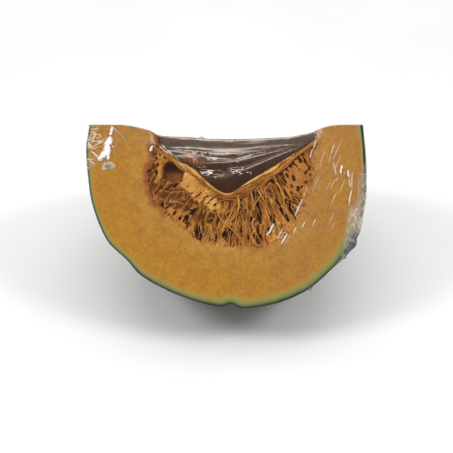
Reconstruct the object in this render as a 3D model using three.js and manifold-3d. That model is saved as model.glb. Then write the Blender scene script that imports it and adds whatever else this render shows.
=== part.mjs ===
// A quarter of a kabocha squash, cut from pole to pole and wrapped in cling film.
//
// Millimetres, +Z up. The fruit's axis, from pole to pole, lies along X. The two cut faces meet on
// that axis and slope down at 45 degrees to either side, so the quarter lies on its rind. A place
// on the rind or in the hollow is given as [along the axis, out from the axis], and a turn about
// the axis is an angle from straight down, negative towards the first cut face.

import * as THREE from 'three';
import { mergeVertices } from 'three/addons/utils/BufferGeometryUtils.js';
import Module from 'manifold-3d';

const wasm = await Module();
wasm.setup();

// ---- Driving dimensions ----------------------------------------------------------------------

const AXIS_HEIGHT = 97;        // axis above the surface, once the rest spot is flattened
const RIBS = 8;                // shallow ribs in a full turn
const RIB_DEPTH = 1.3;         // depth of the grooves between them
const LUMP = 0.45;             // unevenness of the rind
const GAP = 0.3;               // clearance between neighbouring pieces
const FILM = 0.6;              // film wall, far thicker than the real one so that it is a solid
const FACE_SKIN = 0.5;         // pulp lies this far under the cut face

const TURN_STEPS = 60;         // facets in a full turn about the axis
const RIND_STEPS = 34;         // facets along the rind, pole to pole
const WALL_STEPS = 22;         // facets along the wall of the seed hollow
const HOLLOW_STEPS = 14;       // facets along the pulp's free surface
const BEYOND = 300;            // larger than anything here
const HALF_TURN = Math.PI / 4; // each cut face is this far round from straight down
const FIRST_FACE = -1;         // side of the cut face that looks towards -Y
const SECOND_FACE = 1;

// Rind from the stem pole to the blossom pole.
const RIND = [
  [-73.2, 0], [-75, 12], [-74, 26], [-71.2, 43.2], [-63.6, 61.9], [-54.3, 71.6], [-45, 81],
  [-33, 87.6], [-16, 94.6], [2, 97.6], [15, 97.9], [30, 94.4], [44.1, 87.9], [55, 78.9],
  [63.2, 69.3], [70.2, 56.4], [74.2, 43], [75, 29], [74.8, 14], [73.7, 0],
];

// Where flesh ends and pulp begins.
const WALL = [
  [-37.3, 0], [-37.2, 6], [-39.9, 11.8], [-40.4, 19.7], [-42.3, 27.8], [-41.4, 35.1],
  [-37.5, 42.6], [-28.8, 49.9], [-18.1, 59.2], [-9, 63.9], [4, 65.2], [20, 65], [33.6, 56.5],
  [38.5, 49], [43.5, 37], [46.9, 26], [46.9, 18], [48.9, 8.5], [49, 0],
];

// Free surface of the pulp: a spindle-shaped hollow, deepest halfway between the poles.
const HOLLOW = [
  [-36.6, 4.8], [-27, 15.9], [-16.7, 23.1], [-10.5, 30.4], [-3, 35.9], [3.4, 36.4], [12, 30.4],
  [24.3, 22.1], [34.6, 13.8], [48.3, 4.4],
];

// The taut film has pressed the edge between the two cut faces down where it is open or soft:
// [along, how far the edge is pressed below the axis, how far out that draws in the first cut
// face, and how far the second].
const PRESSED = [
  [-57, 0, 20, 20], [-51, 0.6, 22, 22], [-45.7, 1.7, 23, 23], [-41, 2.9, 24, 24],
  [-36.6, 5.2, 24, 31], [-30, 5.7, 25, 34], [-20, 5.9, 26, 38], [-10, 6.7, 30, 42],
  [3, 6.8, 36, 44], [12, 6.7, 31, 42], [24, 6.3, 26, 40], [35, 5.8, 25, 36], [44, 4.3, 24, 27],
  [47.5, 3.4, 24, 25], [52, 1.5, 22, 22], [56, 0.5, 20, 20], [61, 0, 18, 18],
];

// A notch in the rind's widest part and a small step nearer the stem, both fading out away from
// the first cut face: [along, depth, half width, how far round it runs].
const DENTS = [[2.6, 2.2, 3.4, 0.5], [-51.5, 0.4, 3, 0.35]];

// Seed pockets and large gaps that open on the first cut face:
// [along, out, half length, half width, lean of the length in degrees].
const POCKETS = [
  [-28.4, 25.1, 5.4, 4.6, 20], [-26.7, 39.9, 7.5, 4.8, 60], [-17.6, 46.7, 3.6, 2, -30],
  [-21.3, 50.9, 3, 1.8, -20], [-14.9, 57.9, 3.6, 2, 10], [1.1, 59.5, 3.6, 3, 0],
  [17.7, 46.1, 5.4, 1.8, 0], [19.2, 61.5, 2.4, 2, 0], [25.1, 50.4, 3.6, 1.8, 15],
  [34.2, 45, 3.4, 1.4, 20], [34.4, 20.2, 3, 1.6, 20], [39.7, 18.1, 3.4, 1.8, 25],
  [42.2, 25.6, 2.6, 1.2, 30], [37, 28.9, 1.8, 1.4, 0], [41.3, 30.5, 2, 1.2, -40],
  [-38.2, 20, 3.4, 1.2, 0],
];
const SECOND_FACE_POCKETS = 2; // the first of these open on the second cut face too
const SLOTS_PER_FACE = 24;     // narrower gaps, fanned from the hollow to the flesh
const SLOTS_INSIDE = 14;       // gaps in the free surface between the faces
const SLOT_DEPTH = 7;
const SLOT_SEED = 41;

// Half-round scrap pressed into the first cut face.
const FLECK = { along: -62.7, out: 24, halfWidth: 3.9, height: 4.1, thick: 0.7, lean: 19 };

// Film folded over the edge of the first cut face near the blossom end, as an outline.
const LAP = [
  [74.9, 29], [70.9, 38], [67.3, 46.1], [64.1, 52], [63.5, 56.5], [62.4, 62.7], [60.4, 69.8],
  [63.9, 71.6], [67.4, 69.2], [69.6, 65.6], [71.8, 60.6], [75.2, 50], [76.4, 40], [76.3, 31],
];
const LAP_THICK = 1.4;
const GATHERS = 44;            // pleats of the gathered film in a full turn
const GATHER_HEIGHT = 1.3;

// Small points where an edge of the film stands clear of the first cut face:
// [along, out, direction in degrees from outwards, length].
const TIPS = [[-73.6, 0.4, -125, 2.6], [43.6, 89, 25, 2.4]];

// ---- Solids ----------------------------------------------------------------------------------

const curve = (points) => new THREE.SplineCurve(points.map(([x, y]) => new THREE.Vector2(x, y)));

function randomSource(seed) {
  let state = seed;
  return (low, high) => {
    state = (state * 1664525 + 1013904223) % 4294967296;
    return low + (high - low) * (state / 4294967296);
  };
}

// A closed mesh as a solid that can be joined and cut, with its faces turned outwards.
function solid(geometry) {
  const bare = geometry.clone();
  bare.deleteAttribute('normal');
  bare.deleteAttribute('uv');
  const merged = mergeVertices(bare, 1e-4);
  const corner = (i) => new THREE.Vector3().fromBufferAttribute(merged.attributes.position, i);
  let triangles = [];
  let volume = 0;
  for (let i = 0; i < merged.index.count; i += 3) {
    const [a, b, c] = [0, 1, 2].map((k) => merged.index.getX(i + k));
    if (a !== b && b !== c && c !== a) {
      triangles.push(a, b, c);
      volume += corner(a).dot(corner(b).cross(corner(c)));
    }
  }
  if (volume < 0) triangles = triangles.reverse();
  return new wasm.Manifold(new wasm.Mesh({
    numProp: 3,
    vertProperties: Float32Array.from(merged.attributes.position.array),
    triVerts: Uint32Array.from(triangles),
  }));
}

// A profile turned about the axis. raise gives how far the surface stands off the plain turning.
function turned(profile, raise = () => 0) {
  const lathe = new THREE.LatheGeometry(profile.map((p) => new THREE.Vector2(p.y, p.x)), TURN_STEPS);
  const at = lathe.attributes.position;
  for (let i = 0; i < at.count; i += 1) {
    const along = at.getY(i);
    const out = Math.hypot(at.getX(i), at.getZ(i));
    const angle = Math.atan2(at.getX(i), at.getZ(i));
    const reach = out > 0.01 ? out + raise(along, out, angle) : 0;
    at.setXYZ(i, along, reach * Math.sin(angle), -reach * Math.cos(angle));
  }
  return solid(lathe);
}

// A profile moved square to itself, away from the axis for a positive distance.
function offset(profile, distance) {
  return profile.map((p, i) => {
    const before = profile[Math.max(i - 1, 0)];
    const after = profile[Math.min(i + 1, profile.length - 1)];
    const along = new THREE.Vector2().subVectors(after, before).normalize();
    return new THREE.Vector2(p.x - along.y * distance, Math.max(p.y + along.x * distance, 0));
  });
}

// A closed skin over rows of corners, each row a ring of equally many corners.
function loft(rows) {
  const ring = rows[0].length;
  const index = [];
  for (let row = 0; row < rows.length - 1; row += 1) {
    for (let k = 0; k < ring; k += 1) {
      const a = row * ring + k;
      const b = row * ring + ((k + 1) % ring);
      index.push(a, a + ring, b, b, a + ring, b + ring);
    }
  }
  const last = (rows.length - 1) * ring;
  for (let k = 1; k < ring - 1; k += 1) index.push(0, k, k + 1, last, last + k + 1, last + k);
  const geometry = new THREE.BufferGeometry();
  geometry.setAttribute('position', new THREE.Float32BufferAttribute(rows.flat(2), 3));
  geometry.setIndex(index);
  return solid(geometry);
}

// Everything under the two cut faces, moved out from them by a distance.
function underFaces(distance) {
  const rise = distance / Math.cos(HALF_TURN);
  const start = [-BEYOND, ...PRESSED[0].slice(1)];
  const end = [BEYOND, ...PRESSED.at(-1).slice(1)];
  const rows = [start, ...PRESSED, end].map(([along, pressed, ...drawnIn]) => {
    const [first, second] = drawnIn.map((out) => out * Math.sin(HALF_TURN));
    return [
      [along, -BEYOND, rise - BEYOND], [along, -first, rise - first],
      [along, 0, rise - pressed / Math.cos(HALF_TURN)],
      [along, second, rise - second], [along, BEYOND, rise - BEYOND],
    ];
  });
  return loft(rows);
}

// A shape drawn as [along, out] and extruded inwards, put on one cut face with its outside
// sunk in by a depth.
function onFace(geometry, side, depth) {
  const outward = new THREE.Vector3(0, side, -1).normalize();
  const inward = new THREE.Vector3(0, -side, -1).normalize();
  const basis = new THREE.Matrix4().makeBasis(new THREE.Vector3(1, 0, 0), outward, inward);
  return solid(geometry.clone().translate(0, 0, depth).applyMatrix4(basis));
}

const surfaceBox = new THREE.BoxGeometry(BEYOND, BEYOND, BEYOND);
const belowSurface = solid(surfaceBox.translate(0, 0, -AXIS_HEIGHT - BEYOND / 2));

// ---- Rind and flesh --------------------------------------------------------------------------

// Ribs, unevenness and dents of the rind, all gone at the poles.
function rindRelief(along, out, angle) {
  const groove = Math.exp(-9 * Math.cos(0.5 * RIBS * angle) ** 2);
  const lumps = Math.sin(0.11 * along + 2 * angle) * Math.sin(0.07 * along - 5 * angle + 1);
  const dents = DENTS.reduce((sum, [middle, depth, halfWidth, run]) => (
    sum + depth * Math.exp(-(((along - middle) / halfWidth) ** 2) - ((angle + HALF_TURN) / run) ** 2)
  ), 0);
  return (LUMP * lumps - RIB_DEPTH * groove - dents) * Math.min(out / 45, 1) ** 2;
}

const rindProfile = curve(RIND).getSpacedPoints(RIND_STEPS);
const wallProfile = curve(WALL).getSpacedPoints(WALL_STEPS);

function fruit(distance, relief = rindRelief) {
  const profile = offset(rindProfile, distance);
  profile[0].y = 0;
  profile[RIND_STEPS].y = 0;
  return turned(profile, relief);
}

function fleckPlate(grow, thick) {
  const { halfWidth, height } = FLECK;
  const outline = new THREE.Shape();
  outline.moveTo(-halfWidth - grow, grow);
  outline.lineTo(halfWidth + grow, grow);
  outline.bezierCurveTo(
    halfWidth + grow, -1.3 * height - grow, -halfWidth - grow, -1.3 * height - grow, -halfWidth - grow, grow,
  );
  const plate = new THREE.ExtrudeGeometry(outline, { depth: thick, bevelEnabled: false, curveSegments: 9 });
  return plate.rotateZ(THREE.MathUtils.degToRad(-FLECK.lean)).translate(FLECK.along, FLECK.out, 0);
}

function makeWedge() {
  const seat = onFace(fleckPlate(GAP, FLECK.thick + GAP + 1), FIRST_FACE, -1);
  return fruit(0).intersect(underFaces(0)).subtract(turned(wallProfile)).subtract(belowSurface)
    .subtract(seat);
}

// ---- Pulp ------------------------------------------------------------------------------------

const pulpWall = curve(WALL.slice(1, -1));
const pulpHollow = curve(HOLLOW);

// A pointed lens, the gap between two strands, leaning from outwards by some degrees.
function slotShape(halfLength, halfWidth, lean, depth) {
  const bulge = 1.3 * halfWidth;
  const lens = new THREE.Shape();
  lens.moveTo(0, -halfLength);
  lens.bezierCurveTo(bulge, -halfLength / 2, bulge, halfLength / 2, 0, halfLength);
  lens.bezierCurveTo(-bulge, halfLength / 2, -bulge, -halfLength / 2, 0, -halfLength);
  const cut = new THREE.ExtrudeGeometry(lens, { depth, bevelEnabled: false, curveSegments: 4 });
  return cut.rotateZ(THREE.MathUtils.degToRad(-lean));
}

// Slots that fan out from the hollow's edge to the flesh, in three staggered rows.
function fannedSlots(random) {
  return Array.from({ length: SLOTS_PER_FACE }, (_, i) => {
    const t = (i + 0.5 + random(-0.2, 0.2)) / SLOTS_PER_FACE;
    const from = pulpHollow.getPointAt(t);
    const to = pulpWall.getPointAt(t);
    const middle = from.clone().lerp(to, [0.3, 0.78, 0.55][i % 3] + random(-0.05, 0.05));
    const halfLength = Math.max(from.distanceTo(to) * random(0.16, 0.26), 2);
    const lean = THREE.MathUtils.radToDeg(Math.atan2(to.x - from.x, to.y - from.y));
    return [middle.x, middle.y, halfLength, random(1.1, 1.9), lean];
  });
}

// A slot in the free surface between the faces, cut away from the axis.
function insideSlot(i, random) {
  const from = pulpHollow.getPointAt(0.12 + (0.76 * (i + 0.5)) / SLOTS_INSIDE);
  const slot = slotShape(random(3, 5), random(1, 1.7), random(20, 160), SLOT_DEPTH);
  const turn = HALF_TURN * random(-0.65, 0.65);
  return solid(slot.rotateX(Math.PI).translate(from.x, 0, 3 - from.y).rotateX(turn));
}

function makePulp() {
  const random = randomSource(SLOT_SEED);
  const free = pulpHollow.getSpacedPoints(HOLLOW_STEPS);
  const wall = offset(wallProfile, -GAP).slice(1, -1).reverse();
  const sway = (along, out, angle) => (out < 38 ? 0.7 * Math.sin(7 * angle + 0.2 * along) : 0);
  let pulp = turned([...free, ...wall, free[0].clone()], sway).intersect(underFaces(-FACE_SKIN));
  [FIRST_FACE, SECOND_FACE].forEach((side) => {
    const pockets = side === FIRST_FACE ? POCKETS : POCKETS.slice(0, SECOND_FACE_POCKETS);
    [...pockets, ...fannedSlots(random)].forEach(([along, out, halfLength, halfWidth, lean]) => {
      const depth = SLOT_DEPTH * (halfWidth > 2.5 ? 1.3 : random(0.6, 1));
      const slot = slotShape(halfLength, halfWidth, lean, depth + 1).translate(along, out, 0);
      pulp = pulp.subtract(onFace(slot, side, -1));
    });
  });
  for (let i = 0; i < SLOTS_INSIDE; i += 1) pulp = pulp.subtract(insideSlot(i, random));
  return pulp;
}

// ---- Film ------------------------------------------------------------------------------------

// Pleats where the film is gathered at the blossom end, on top of the rind's own relief.
function gatheredRelief(along, out, angle) {
  const towardsEnd = THREE.MathUtils.smoothstep(along, 52, 70) * Math.min(out / 30, 1);
  const towardsFace = Math.exp(-(((angle + HALF_TURN) / 0.8) ** 2));
  const pleat = 0.5 + 0.5 * Math.sin(GATHERS * angle);
  return rindRelief(along, out, angle) + GATHER_HEIGHT * towardsEnd * towardsFace * pleat;
}

function lapPlate() {
  const outline = new THREE.Shape(curve([...LAP, LAP[0]]).getPoints(2 * LAP.length).slice(0, -1));
  return new THREE.ExtrudeGeometry(outline, { depth: LAP_THICK, bevelEnabled: false });
}

function tipPlate([along, out, direction, length]) {
  const outline = new THREE.Shape([[-1.2, -2], [1.2, -2], [0, length]].map(([x, y]) => new THREE.Vector2(x, y)));
  const plate = new THREE.ExtrudeGeometry(outline, { depth: FILM, bevelEnabled: false });
  return plate.rotateZ(THREE.MathUtils.degToRad(-direction)).translate(along, out, 0);
}

function makeFilm() {
  const outside = GAP + FILM;
  const inside = fruit(GAP).intersect(underFaces(GAP));
  let film = fruit(outside, gatheredRelief).intersect(underFaces(outside));
  film = film.add(onFace(lapPlate(), FIRST_FACE, -GAP - LAP_THICK));
  TIPS.forEach((tip) => {
    film = film.add(onFace(tipPlate(tip), FIRST_FACE, -outside));
  });
  return film.subtract(inside).subtract(belowSurface);
}

// ---- The wrapped quarter ---------------------------------------------------------------------

function piece(name, shape, material) {
  const mesh = shape.getMesh();
  const geometry = new THREE.BufferGeometry();
  geometry.setAttribute('position', new THREE.BufferAttribute(mesh.vertProperties, 3));
  geometry.setIndex(new THREE.BufferAttribute(mesh.triVerts, 1));
  geometry.translate(0, 0, AXIS_HEIGHT);
  geometry.computeVertexNormals();
  const made = new THREE.Mesh(geometry, new THREE.MeshStandardMaterial({ metalness: 0, ...material }));
  made.name = name;
  return made;
}

const fleck = onFace(fleckPlate(0, FLECK.thick), FIRST_FACE, 0);

const squash = new THREE.Group();
squash.add(
  piece('squash_wedge', makeWedge(), { color: 0xc08a3e, roughness: 0.55 }),
  piece('seed_pulp', makePulp(), { color: 0xa9692c, roughness: 0.7 }),
  piece('cling_film', makeFilm(), { color: 0xf2f4f4, roughness: 0.08, transparent: true, opacity: 0.25 }),
  piece('grey_fleck', fleck, { color: 0x9c927d, roughness: 0.8 }),
);

// The origin is the middle of the footprint, on the surface.
const box = new THREE.Box3().setFromObject(squash);
const middle = box.getCenter(new THREE.Vector3());
squash.position.set(-middle.x, -middle.y, 0);
squash.updateMatrixWorld(true);

export default squash;
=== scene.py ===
import bpy
import bmesh
import numpy as np
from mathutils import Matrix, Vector


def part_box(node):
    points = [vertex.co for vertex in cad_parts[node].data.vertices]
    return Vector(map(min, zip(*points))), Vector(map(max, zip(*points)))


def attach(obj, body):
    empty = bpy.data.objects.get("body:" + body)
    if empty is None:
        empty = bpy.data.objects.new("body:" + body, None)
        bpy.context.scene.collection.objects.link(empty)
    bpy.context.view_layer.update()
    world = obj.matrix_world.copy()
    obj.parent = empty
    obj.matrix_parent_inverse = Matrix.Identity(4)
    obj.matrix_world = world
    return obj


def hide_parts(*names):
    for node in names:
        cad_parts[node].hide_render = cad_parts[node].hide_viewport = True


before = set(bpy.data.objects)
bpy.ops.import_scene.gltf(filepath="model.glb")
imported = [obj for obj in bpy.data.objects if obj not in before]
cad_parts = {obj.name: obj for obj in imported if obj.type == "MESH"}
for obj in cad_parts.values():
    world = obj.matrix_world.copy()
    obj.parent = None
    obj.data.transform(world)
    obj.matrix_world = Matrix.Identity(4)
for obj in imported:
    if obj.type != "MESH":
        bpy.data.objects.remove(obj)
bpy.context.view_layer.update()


# ---- Camera, lights and floor ----------------------------------------------------------------
# The quarter lies on a pale table top under soft panels overhead, in front, behind and at both
# sides. Only the two weak strips at the sides show in the film, as thin lights on its folds.

def put(name, data):
    """A new object in the scene that holds a mesh, light or camera."""
    made = bpy.data.objects.new(name, data)
    bpy.context.scene.collection.objects.link(made)
    return made


def aim(name, data, target, azimuth, elevation, distance):
    """An object that looks at target from a distance. Azimuth 0 looks along +Y, and elevation is
    above the horizon, both in degrees."""
    turn, rise = np.radians(azimuth), np.radians(elevation)
    back = Vector((np.sin(turn) * np.cos(rise), -np.cos(turn) * np.cos(rise), np.sin(rise)))
    made = put(name, data)
    made.location = Vector(target) + back * distance
    made.rotation_euler = (-back).to_track_quat("-Z", "Y").to_euler()
    return made


CUT_FACE_MIDDLE = (0.0, -0.0389, 0.0581)
lens = bpy.data.cameras.new("camera")
lens.sensor_width = 36.0
lens.lens = 77.47
camera = aim("camera", lens, CUT_FACE_MIDDLE, azimuth=0, elevation=39, distance=0.52)
bpy.context.scene.camera = camera

SQUASH_MIDDLE = (0, 0, 0.05)
# name, azimuth, elevation, distance, side, watts, whether it shows in shiny surfaces
PANELS = [
    ("overhead_panel", 180, 80, 1.1, 1.30, 8.0, False),
    ("left_panel", -75, 44, 1.1, 0.34, 2.8, False),
    ("left_strip", -75, 46, 1.1, 0.34, 1.8, True),
    ("right_panel", 75, 44, 1.1, 0.34, 2.6, False),
    ("right_strip", 75, 46, 1.1, 0.34, 1.6, True),
    ("front_panel", 0, 8, 1.2, 0.80, 2.8, False),
    ("back_panel", 180, 22, 1.2, 0.80, 2.5, False),
]
for name, azimuth, elevation, distance, side, watts, shows in PANELS:
    panel = bpy.data.lights.new(name, "AREA")
    panel.size = side
    panel.energy = watts
    aim(name, panel, SQUASH_MIDDLE, azimuth, elevation, distance).visible_glossy = shows

room = bpy.data.worlds.new("room")
room.use_nodes = True
room.node_tree.nodes["Background"].inputs["Color"].default_value = (1, 1, 1, 1)
room.node_tree.nodes["Background"].inputs["Strength"].default_value = 0.22
bpy.context.scene.world = room
bpy.context.scene.view_settings.view_transform = "Standard"


def srgb(red, green, blue):
    """A screen colour from 0 to 255 as the linear colour that a shader reads."""
    part = np.array([red, green, blue]) / 255
    linear = np.where(part <= 0.04045, part / 12.92, ((part + 0.055) / 1.055) ** 2.4)
    return (*linear.tolist(), 1.0)


def node(tree, kind, sockets=(), **settings):
    """A shader node. Each input named in sockets is linked where it is given another node's
    output, and otherwise set to the value."""
    made = tree.nodes.new("ShaderNode" + kind)
    for name, value in settings.items():
        setattr(made, name, value)
    for name, value in dict(sockets).items():
        if isinstance(value, bpy.types.NodeSocket):
            tree.links.new(value, made.inputs[name])
        else:
            made.inputs[name].default_value = value
    return made


def finish(name):
    """A new material, its node tree, the place on the object that a shader reads, and a function
    that joins a shader to the material's output."""
    made = bpy.data.materials.new(name)
    made.use_nodes = True
    made.node_tree.nodes.clear()
    last = made.node_tree.nodes.new("ShaderNodeOutputMaterial")
    place = node(made.node_tree, "TexCoord").outputs["Object"]
    return made, made.node_tree, place, lambda shader: made.node_tree.links.new(shader, last.inputs[0])


def speckle(tree, place, scale, detail=2.0, roughness=0.5):
    """Noise from 0 to 1 at a place. scale is in cells per unit of the place."""
    sockets = {"Vector": place, "Scale": scale, "Detail": detail, "Roughness": roughness}
    return node(tree, "TexNoise", sockets).outputs["Fac"]


def ramp(tree, value, stops):
    """A colour read by a number from stops, each a value and a screen colour."""
    made = node(tree, "ValToRGB", {"Fac": value})
    bar = made.color_ramp
    while len(bar.elements) < len(stops):
        bar.elements.new(0.5)
    for element, (position, colour) in zip(bar.elements, stops):
        element.position = position
        element.color = srgb(*colour)
    return made.outputs["Color"]


def table_finish():
    """Matt off-white board with a faint mottle."""
    made, tree, place, output = finish("table_board")
    colour = ramp(tree, speckle(tree, place, 6.0), [(0.3, (238, 238, 236)), (0.7, (244, 244, 243))])
    output(node(tree, "BsdfPrincipled", {"Base Color": colour, "Roughness": 0.8}).outputs[0])
    return made


TABLE_HALF = 6.0  # metres, so that its edge is in no view
corners = TABLE_HALF * np.array([(-1, -1, 0), (1, -1, 0), (1, 1, 0), (-1, 1, 0)])
table_top = bpy.data.meshes.new("table")
table_top.from_pydata(corners, [], [(0, 1, 2, 3)])
table_top.materials.append(table_finish())
table = put("table", table_top)


# ---- Rind and flesh --------------------------------------------------------------------------
# A quarter of the fruit, cut from pole to pole by two strokes of a knife: golden flesh 25 to 35 mm
# thick that turns green just under a thin, dark, faintly ribbed rind. Grown and cut as one piece.
# Places are [along the axis, out from it] in millimetres, turned from straight down.

# Profiles of the rind and of the hollow's wall, from the stem end to the blossom end
RIND = [
    (-73.2, 0), (-75, 12), (-74, 26), (-71.2, 43.2), (-63.6, 61.9), (-54.3, 71.6), (-45, 81),
    (-33, 87.6), (-16, 94.6), (2, 97.6), (15, 97.9), (30, 94.4), (44.1, 87.9), (55, 78.9),
    (63.2, 69.3), (70.2, 56.4), (74.2, 43), (75, 29), (74.8, 14), (73.7, 0),
]
WALL = [
    (-37.3, 0), (-37.2, 6), (-39.9, 11.8), (-40.4, 19.7), (-42.3, 27.8), (-41.4, 35.1),
    (-37.5, 42.6), (-28.8, 49.9), (-18.1, 59.2), (-9, 63.9), (4, 65.2), (20, 65), (33.6, 56.5),
    (38.5, 49), (43.5, 37), (46.9, 26), (46.9, 18), (48.9, 8.5), (49, 0),
]
# along, how far the film presses the edge between the cut faces down, and how far out that
# reaches in the first face and in the second
PRESSED = np.array([
    (-57, 0, 20, 20), (-51, 0.6, 22, 22), (-45.7, 1.7, 23, 23), (-41, 2.9, 24, 24),
    (-36.6, 5.2, 24, 31), (-30, 5.7, 25, 34), (-20, 5.9, 26, 38), (-10, 6.7, 30, 42),
    (3, 6.8, 36, 44), (12, 6.7, 31, 42), (24, 6.3, 26, 40), (35, 5.8, 25, 36), (44, 4.3, 24, 27),
    (47.5, 3.4, 24, 25), (52, 1.5, 22, 22), (56, 0.5, 20, 20), (61, 0, 18, 18),
])
DENTS = [(2.6, 2.2, 3.4, 0.5), (-51.5, 0.4, 3, 0.35)]  # along, depth, half width, how far round
LUMPS, GROOVES = 0.45, 1.3  # how far the rind stands out in its lumps, and in at its grooves
EDGE_SINK, EDGE_WIDTH = 0.9, 1.1  # how far the cut flesh sinks at the hollow's wall, how wide
MM = 0.001
FACE_TURN = np.pi / 4  # each cut face is turned this far from straight down
# The axis lies along the top of the wedge, and the rind's profile starts at the wedge's low side
AXIS_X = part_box("squash_wedge")[0].x / MM - min(RIND)[0]
AXIS_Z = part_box("squash_wedge")[1].z / MM


def unit(number):
    """A number kept between 0 and 1."""
    return np.clip(number, 0, 1)


def bell(number):
    """1 at 0, falling away smoothly on both sides: e to the power of minus its square."""
    return np.exp(-number ** 2)


def blend(one, other, share):
    """What lies between two values, the share of the way from one to the other."""
    return one * (1 - share) + other * share


def curve(points, count):
    """A smooth curve through the points, where each stretch blends its four nearest points
    (Catmull-Rom), as count places at equal steps of length."""
    p = np.asarray(points, float)
    p = np.vstack([p[:1], p, p[-1:]])
    a, b, c, d = p[:-3, None], p[1:-2, None], p[2:-1, None], p[3:, None]
    s = np.linspace(0, 1, 40, endpoint=False)[None, :, None]
    fine = b + 0.5 * s * ((c - a) + s * ((2 * a - 5 * b + 4 * c - d) + s * (3 * (b - c) + d - a)))
    fine = np.vstack([fine.reshape(-1, p.shape[1]), p[-1:]])
    length = np.r_[0, np.cumsum(np.linalg.norm(np.diff(fine, axis=0), axis=1))]
    at = np.linspace(0, length[-1], count)
    return np.stack([np.interp(at, length, column) for column in fine.T], -1)


def field(x, y, seed):
    """Smooth unevenness from -1 to 1: a random height at each whole number of x and y, with an
    S-shaped blend between neighbours."""
    heights = np.random.default_rng(seed).uniform(-1, 1, (256, 256))
    i, j = np.floor(x).astype(int), np.floor(y).astype(int)
    u, v = x - i, y - j
    u, v = u * u * (3 - 2 * u), v * v * (3 - 2 * v)
    low = blend(heights[i % 256, j % 256], heights[(i + 1) % 256, j % 256], u)
    high = blend(heights[i % 256, (j + 1) % 256], heights[(i + 1) % 256, (j + 1) % 256], u)
    return blend(low, high, v)


def rib_relief(along, out, turn):
    """How far the rind stands off a plain turning: eight ribs with narrow grooves between, slow
    and finer lumps, and two dents that fade away from the first cut face. All end at the poles."""
    groove = np.exp(-9 * np.cos(4 * turn) ** 2)
    lumps = np.sin(0.11 * along + 2 * turn) * np.sin(0.07 * along - 5 * turn + 1)
    fine = 0.16 * field(along / 9, turn * 9, 1) + 0.08 * field(along / 3.5, turn * 24, 2)
    dents = sum(
        depth * np.exp(-((along - middle) / half) ** 2 - ((turn + FACE_TURN) / run) ** 2)
        for middle, depth, half, run in DENTS
    )
    return (LUMPS * lumps + fine - GROOVES * groove - dents) * np.minimum(out / 45, 1) ** 2


def ragged(arc, share, turn):
    """How far the wall of the seed hollow wanders outwards: noise along it and round it in three
    finenesses, none at its two ends. share is how far along the wall, from 0 to 1."""
    wander = 1.0 * field(arc / 5.5, turn * 9, 3) + 0.9 * field(arc / 2.1, turn * 22, 4)
    wander += 0.5 * field(arc / 1.1, turn * 40, 7)
    return wander * unit(np.sin(np.pi * share) * 5)


def outwards(profile):
    """Unit directions square to a profile, away from the axis."""
    step = np.gradient(profile, axis=0)
    step /= np.linalg.norm(step, axis=1)[:, None]
    return np.stack([-step[:, 1], step[:, 0]], -1)


def set_down(along, out, turn):
    """Places round the fruit's axis as points in metres. Near the axis they are pressed down, in
    proportion to how near they are, by what PRESSED gives for that place along the axis."""
    along, out, turn = np.broadcast_arrays(along, out, turn)
    pressed, first, second = (np.interp(along, PRESSED[:, 0], PRESSED[:, k]) for k in (1, 2, 3))
    reach = blend(first, second, unit(0.5 + turn / (2 * FACE_TURN)))
    drop = np.sqrt(2) * pressed * unit(1 - out / reach)
    height = AXIS_Z - out * np.cos(turn) - drop
    return np.stack([along + AXIS_X, out * np.sin(turn), height], -1) * MM


def face_inwards(side):
    """Unit direction square to a cut face, into the fruit. side is -1 for the first face."""
    return np.array([0, -side, -1]) / np.sqrt(2)


def to_line(points, line):
    """Distance of each point to the nearest point of a line of places."""
    flat = points.reshape(-1, 1, 2)
    return np.sqrt(((flat - line[None]) ** 2).sum(-1).min(1)).reshape(points.shape[:-1])


def mesh(name, points, quads, finishes, features, crease=40, face_finish=None):
    """A mesh of quads between points. features are numbers for each point, by name, and
    face_finish the number of each quad's finish. Doubles are merged, faces turned outwards, and
    it is shaded smoothly up to a crease angle in degrees."""
    made = bpy.data.meshes.new(name)
    made.from_pydata(points.reshape(-1, 3), [], quads.reshape(-1, 4))
    for finished in finishes:
        made.materials.append(finished)
    if face_finish is not None:
        made.polygons.foreach_set("material_index", face_finish.ravel())
    for label, values in features.items():
        layer = made.attributes.new(label, "FLOAT", "POINT")
        layer.data.foreach_set("value", np.broadcast_to(values, points.shape[:-1]).ravel())
    work = bmesh.new()
    work.from_mesh(made)
    bmesh.ops.remove_doubles(work, verts=work.verts, dist=2e-6)
    bmesh.ops.dissolve_degenerate(work, edges=work.edges, dist=1e-7)
    bmesh.ops.recalc_face_normals(work, faces=work.faces)
    work.to_mesh(made)
    work.free()
    made.polygons.foreach_set("use_smooth", np.ones(len(made.polygons), bool))
    made.set_sharp_from_angle(angle=np.radians(crease))
    made.update()
    return made


def skin(name, rows, finishes, features, closed=True, strip_finish=None):
    """A mesh over rows of points, each row a ring if closed. strip_finish is the number of the
    finish of each strip between two columns."""
    count, ring = rows.shape[:2]
    strips = ring if closed else ring - 1
    i, j = np.meshgrid(np.arange(count - 1), np.arange(strips), indexing="ij")
    k = (j + 1) % ring
    quads = np.stack([i * ring + j, i * ring + k, (i + 1) * ring + k, (i + 1) * ring + j], -1)
    face_finish = None if strip_finish is None else np.asarray(strip_finish)[j]
    return mesh(name, rows, quads, finishes, features, face_finish=face_finish)


def around(stretches, *values):
    """Values for the stretches of a ring side by side, each spread over its stretch's points."""
    spread = [np.broadcast_to(value, part.shape[:2]) for value, part in zip(values, stretches)]
    return np.concatenate(spread, 1)


def show(made, finish_slot, *nodes):
    """Puts a mesh in the scene as a piece that rides on the root body and stands for CAD nodes."""
    piece = put(made.name, made)
    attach(piece, "root")
    if nodes:
        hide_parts(*nodes)
    return piece


def feature(tree, name):
    """A number that the mesh holds for each of its points."""
    return node(tree, "Attribute", attribute_name=name).outputs["Fac"]


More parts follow.
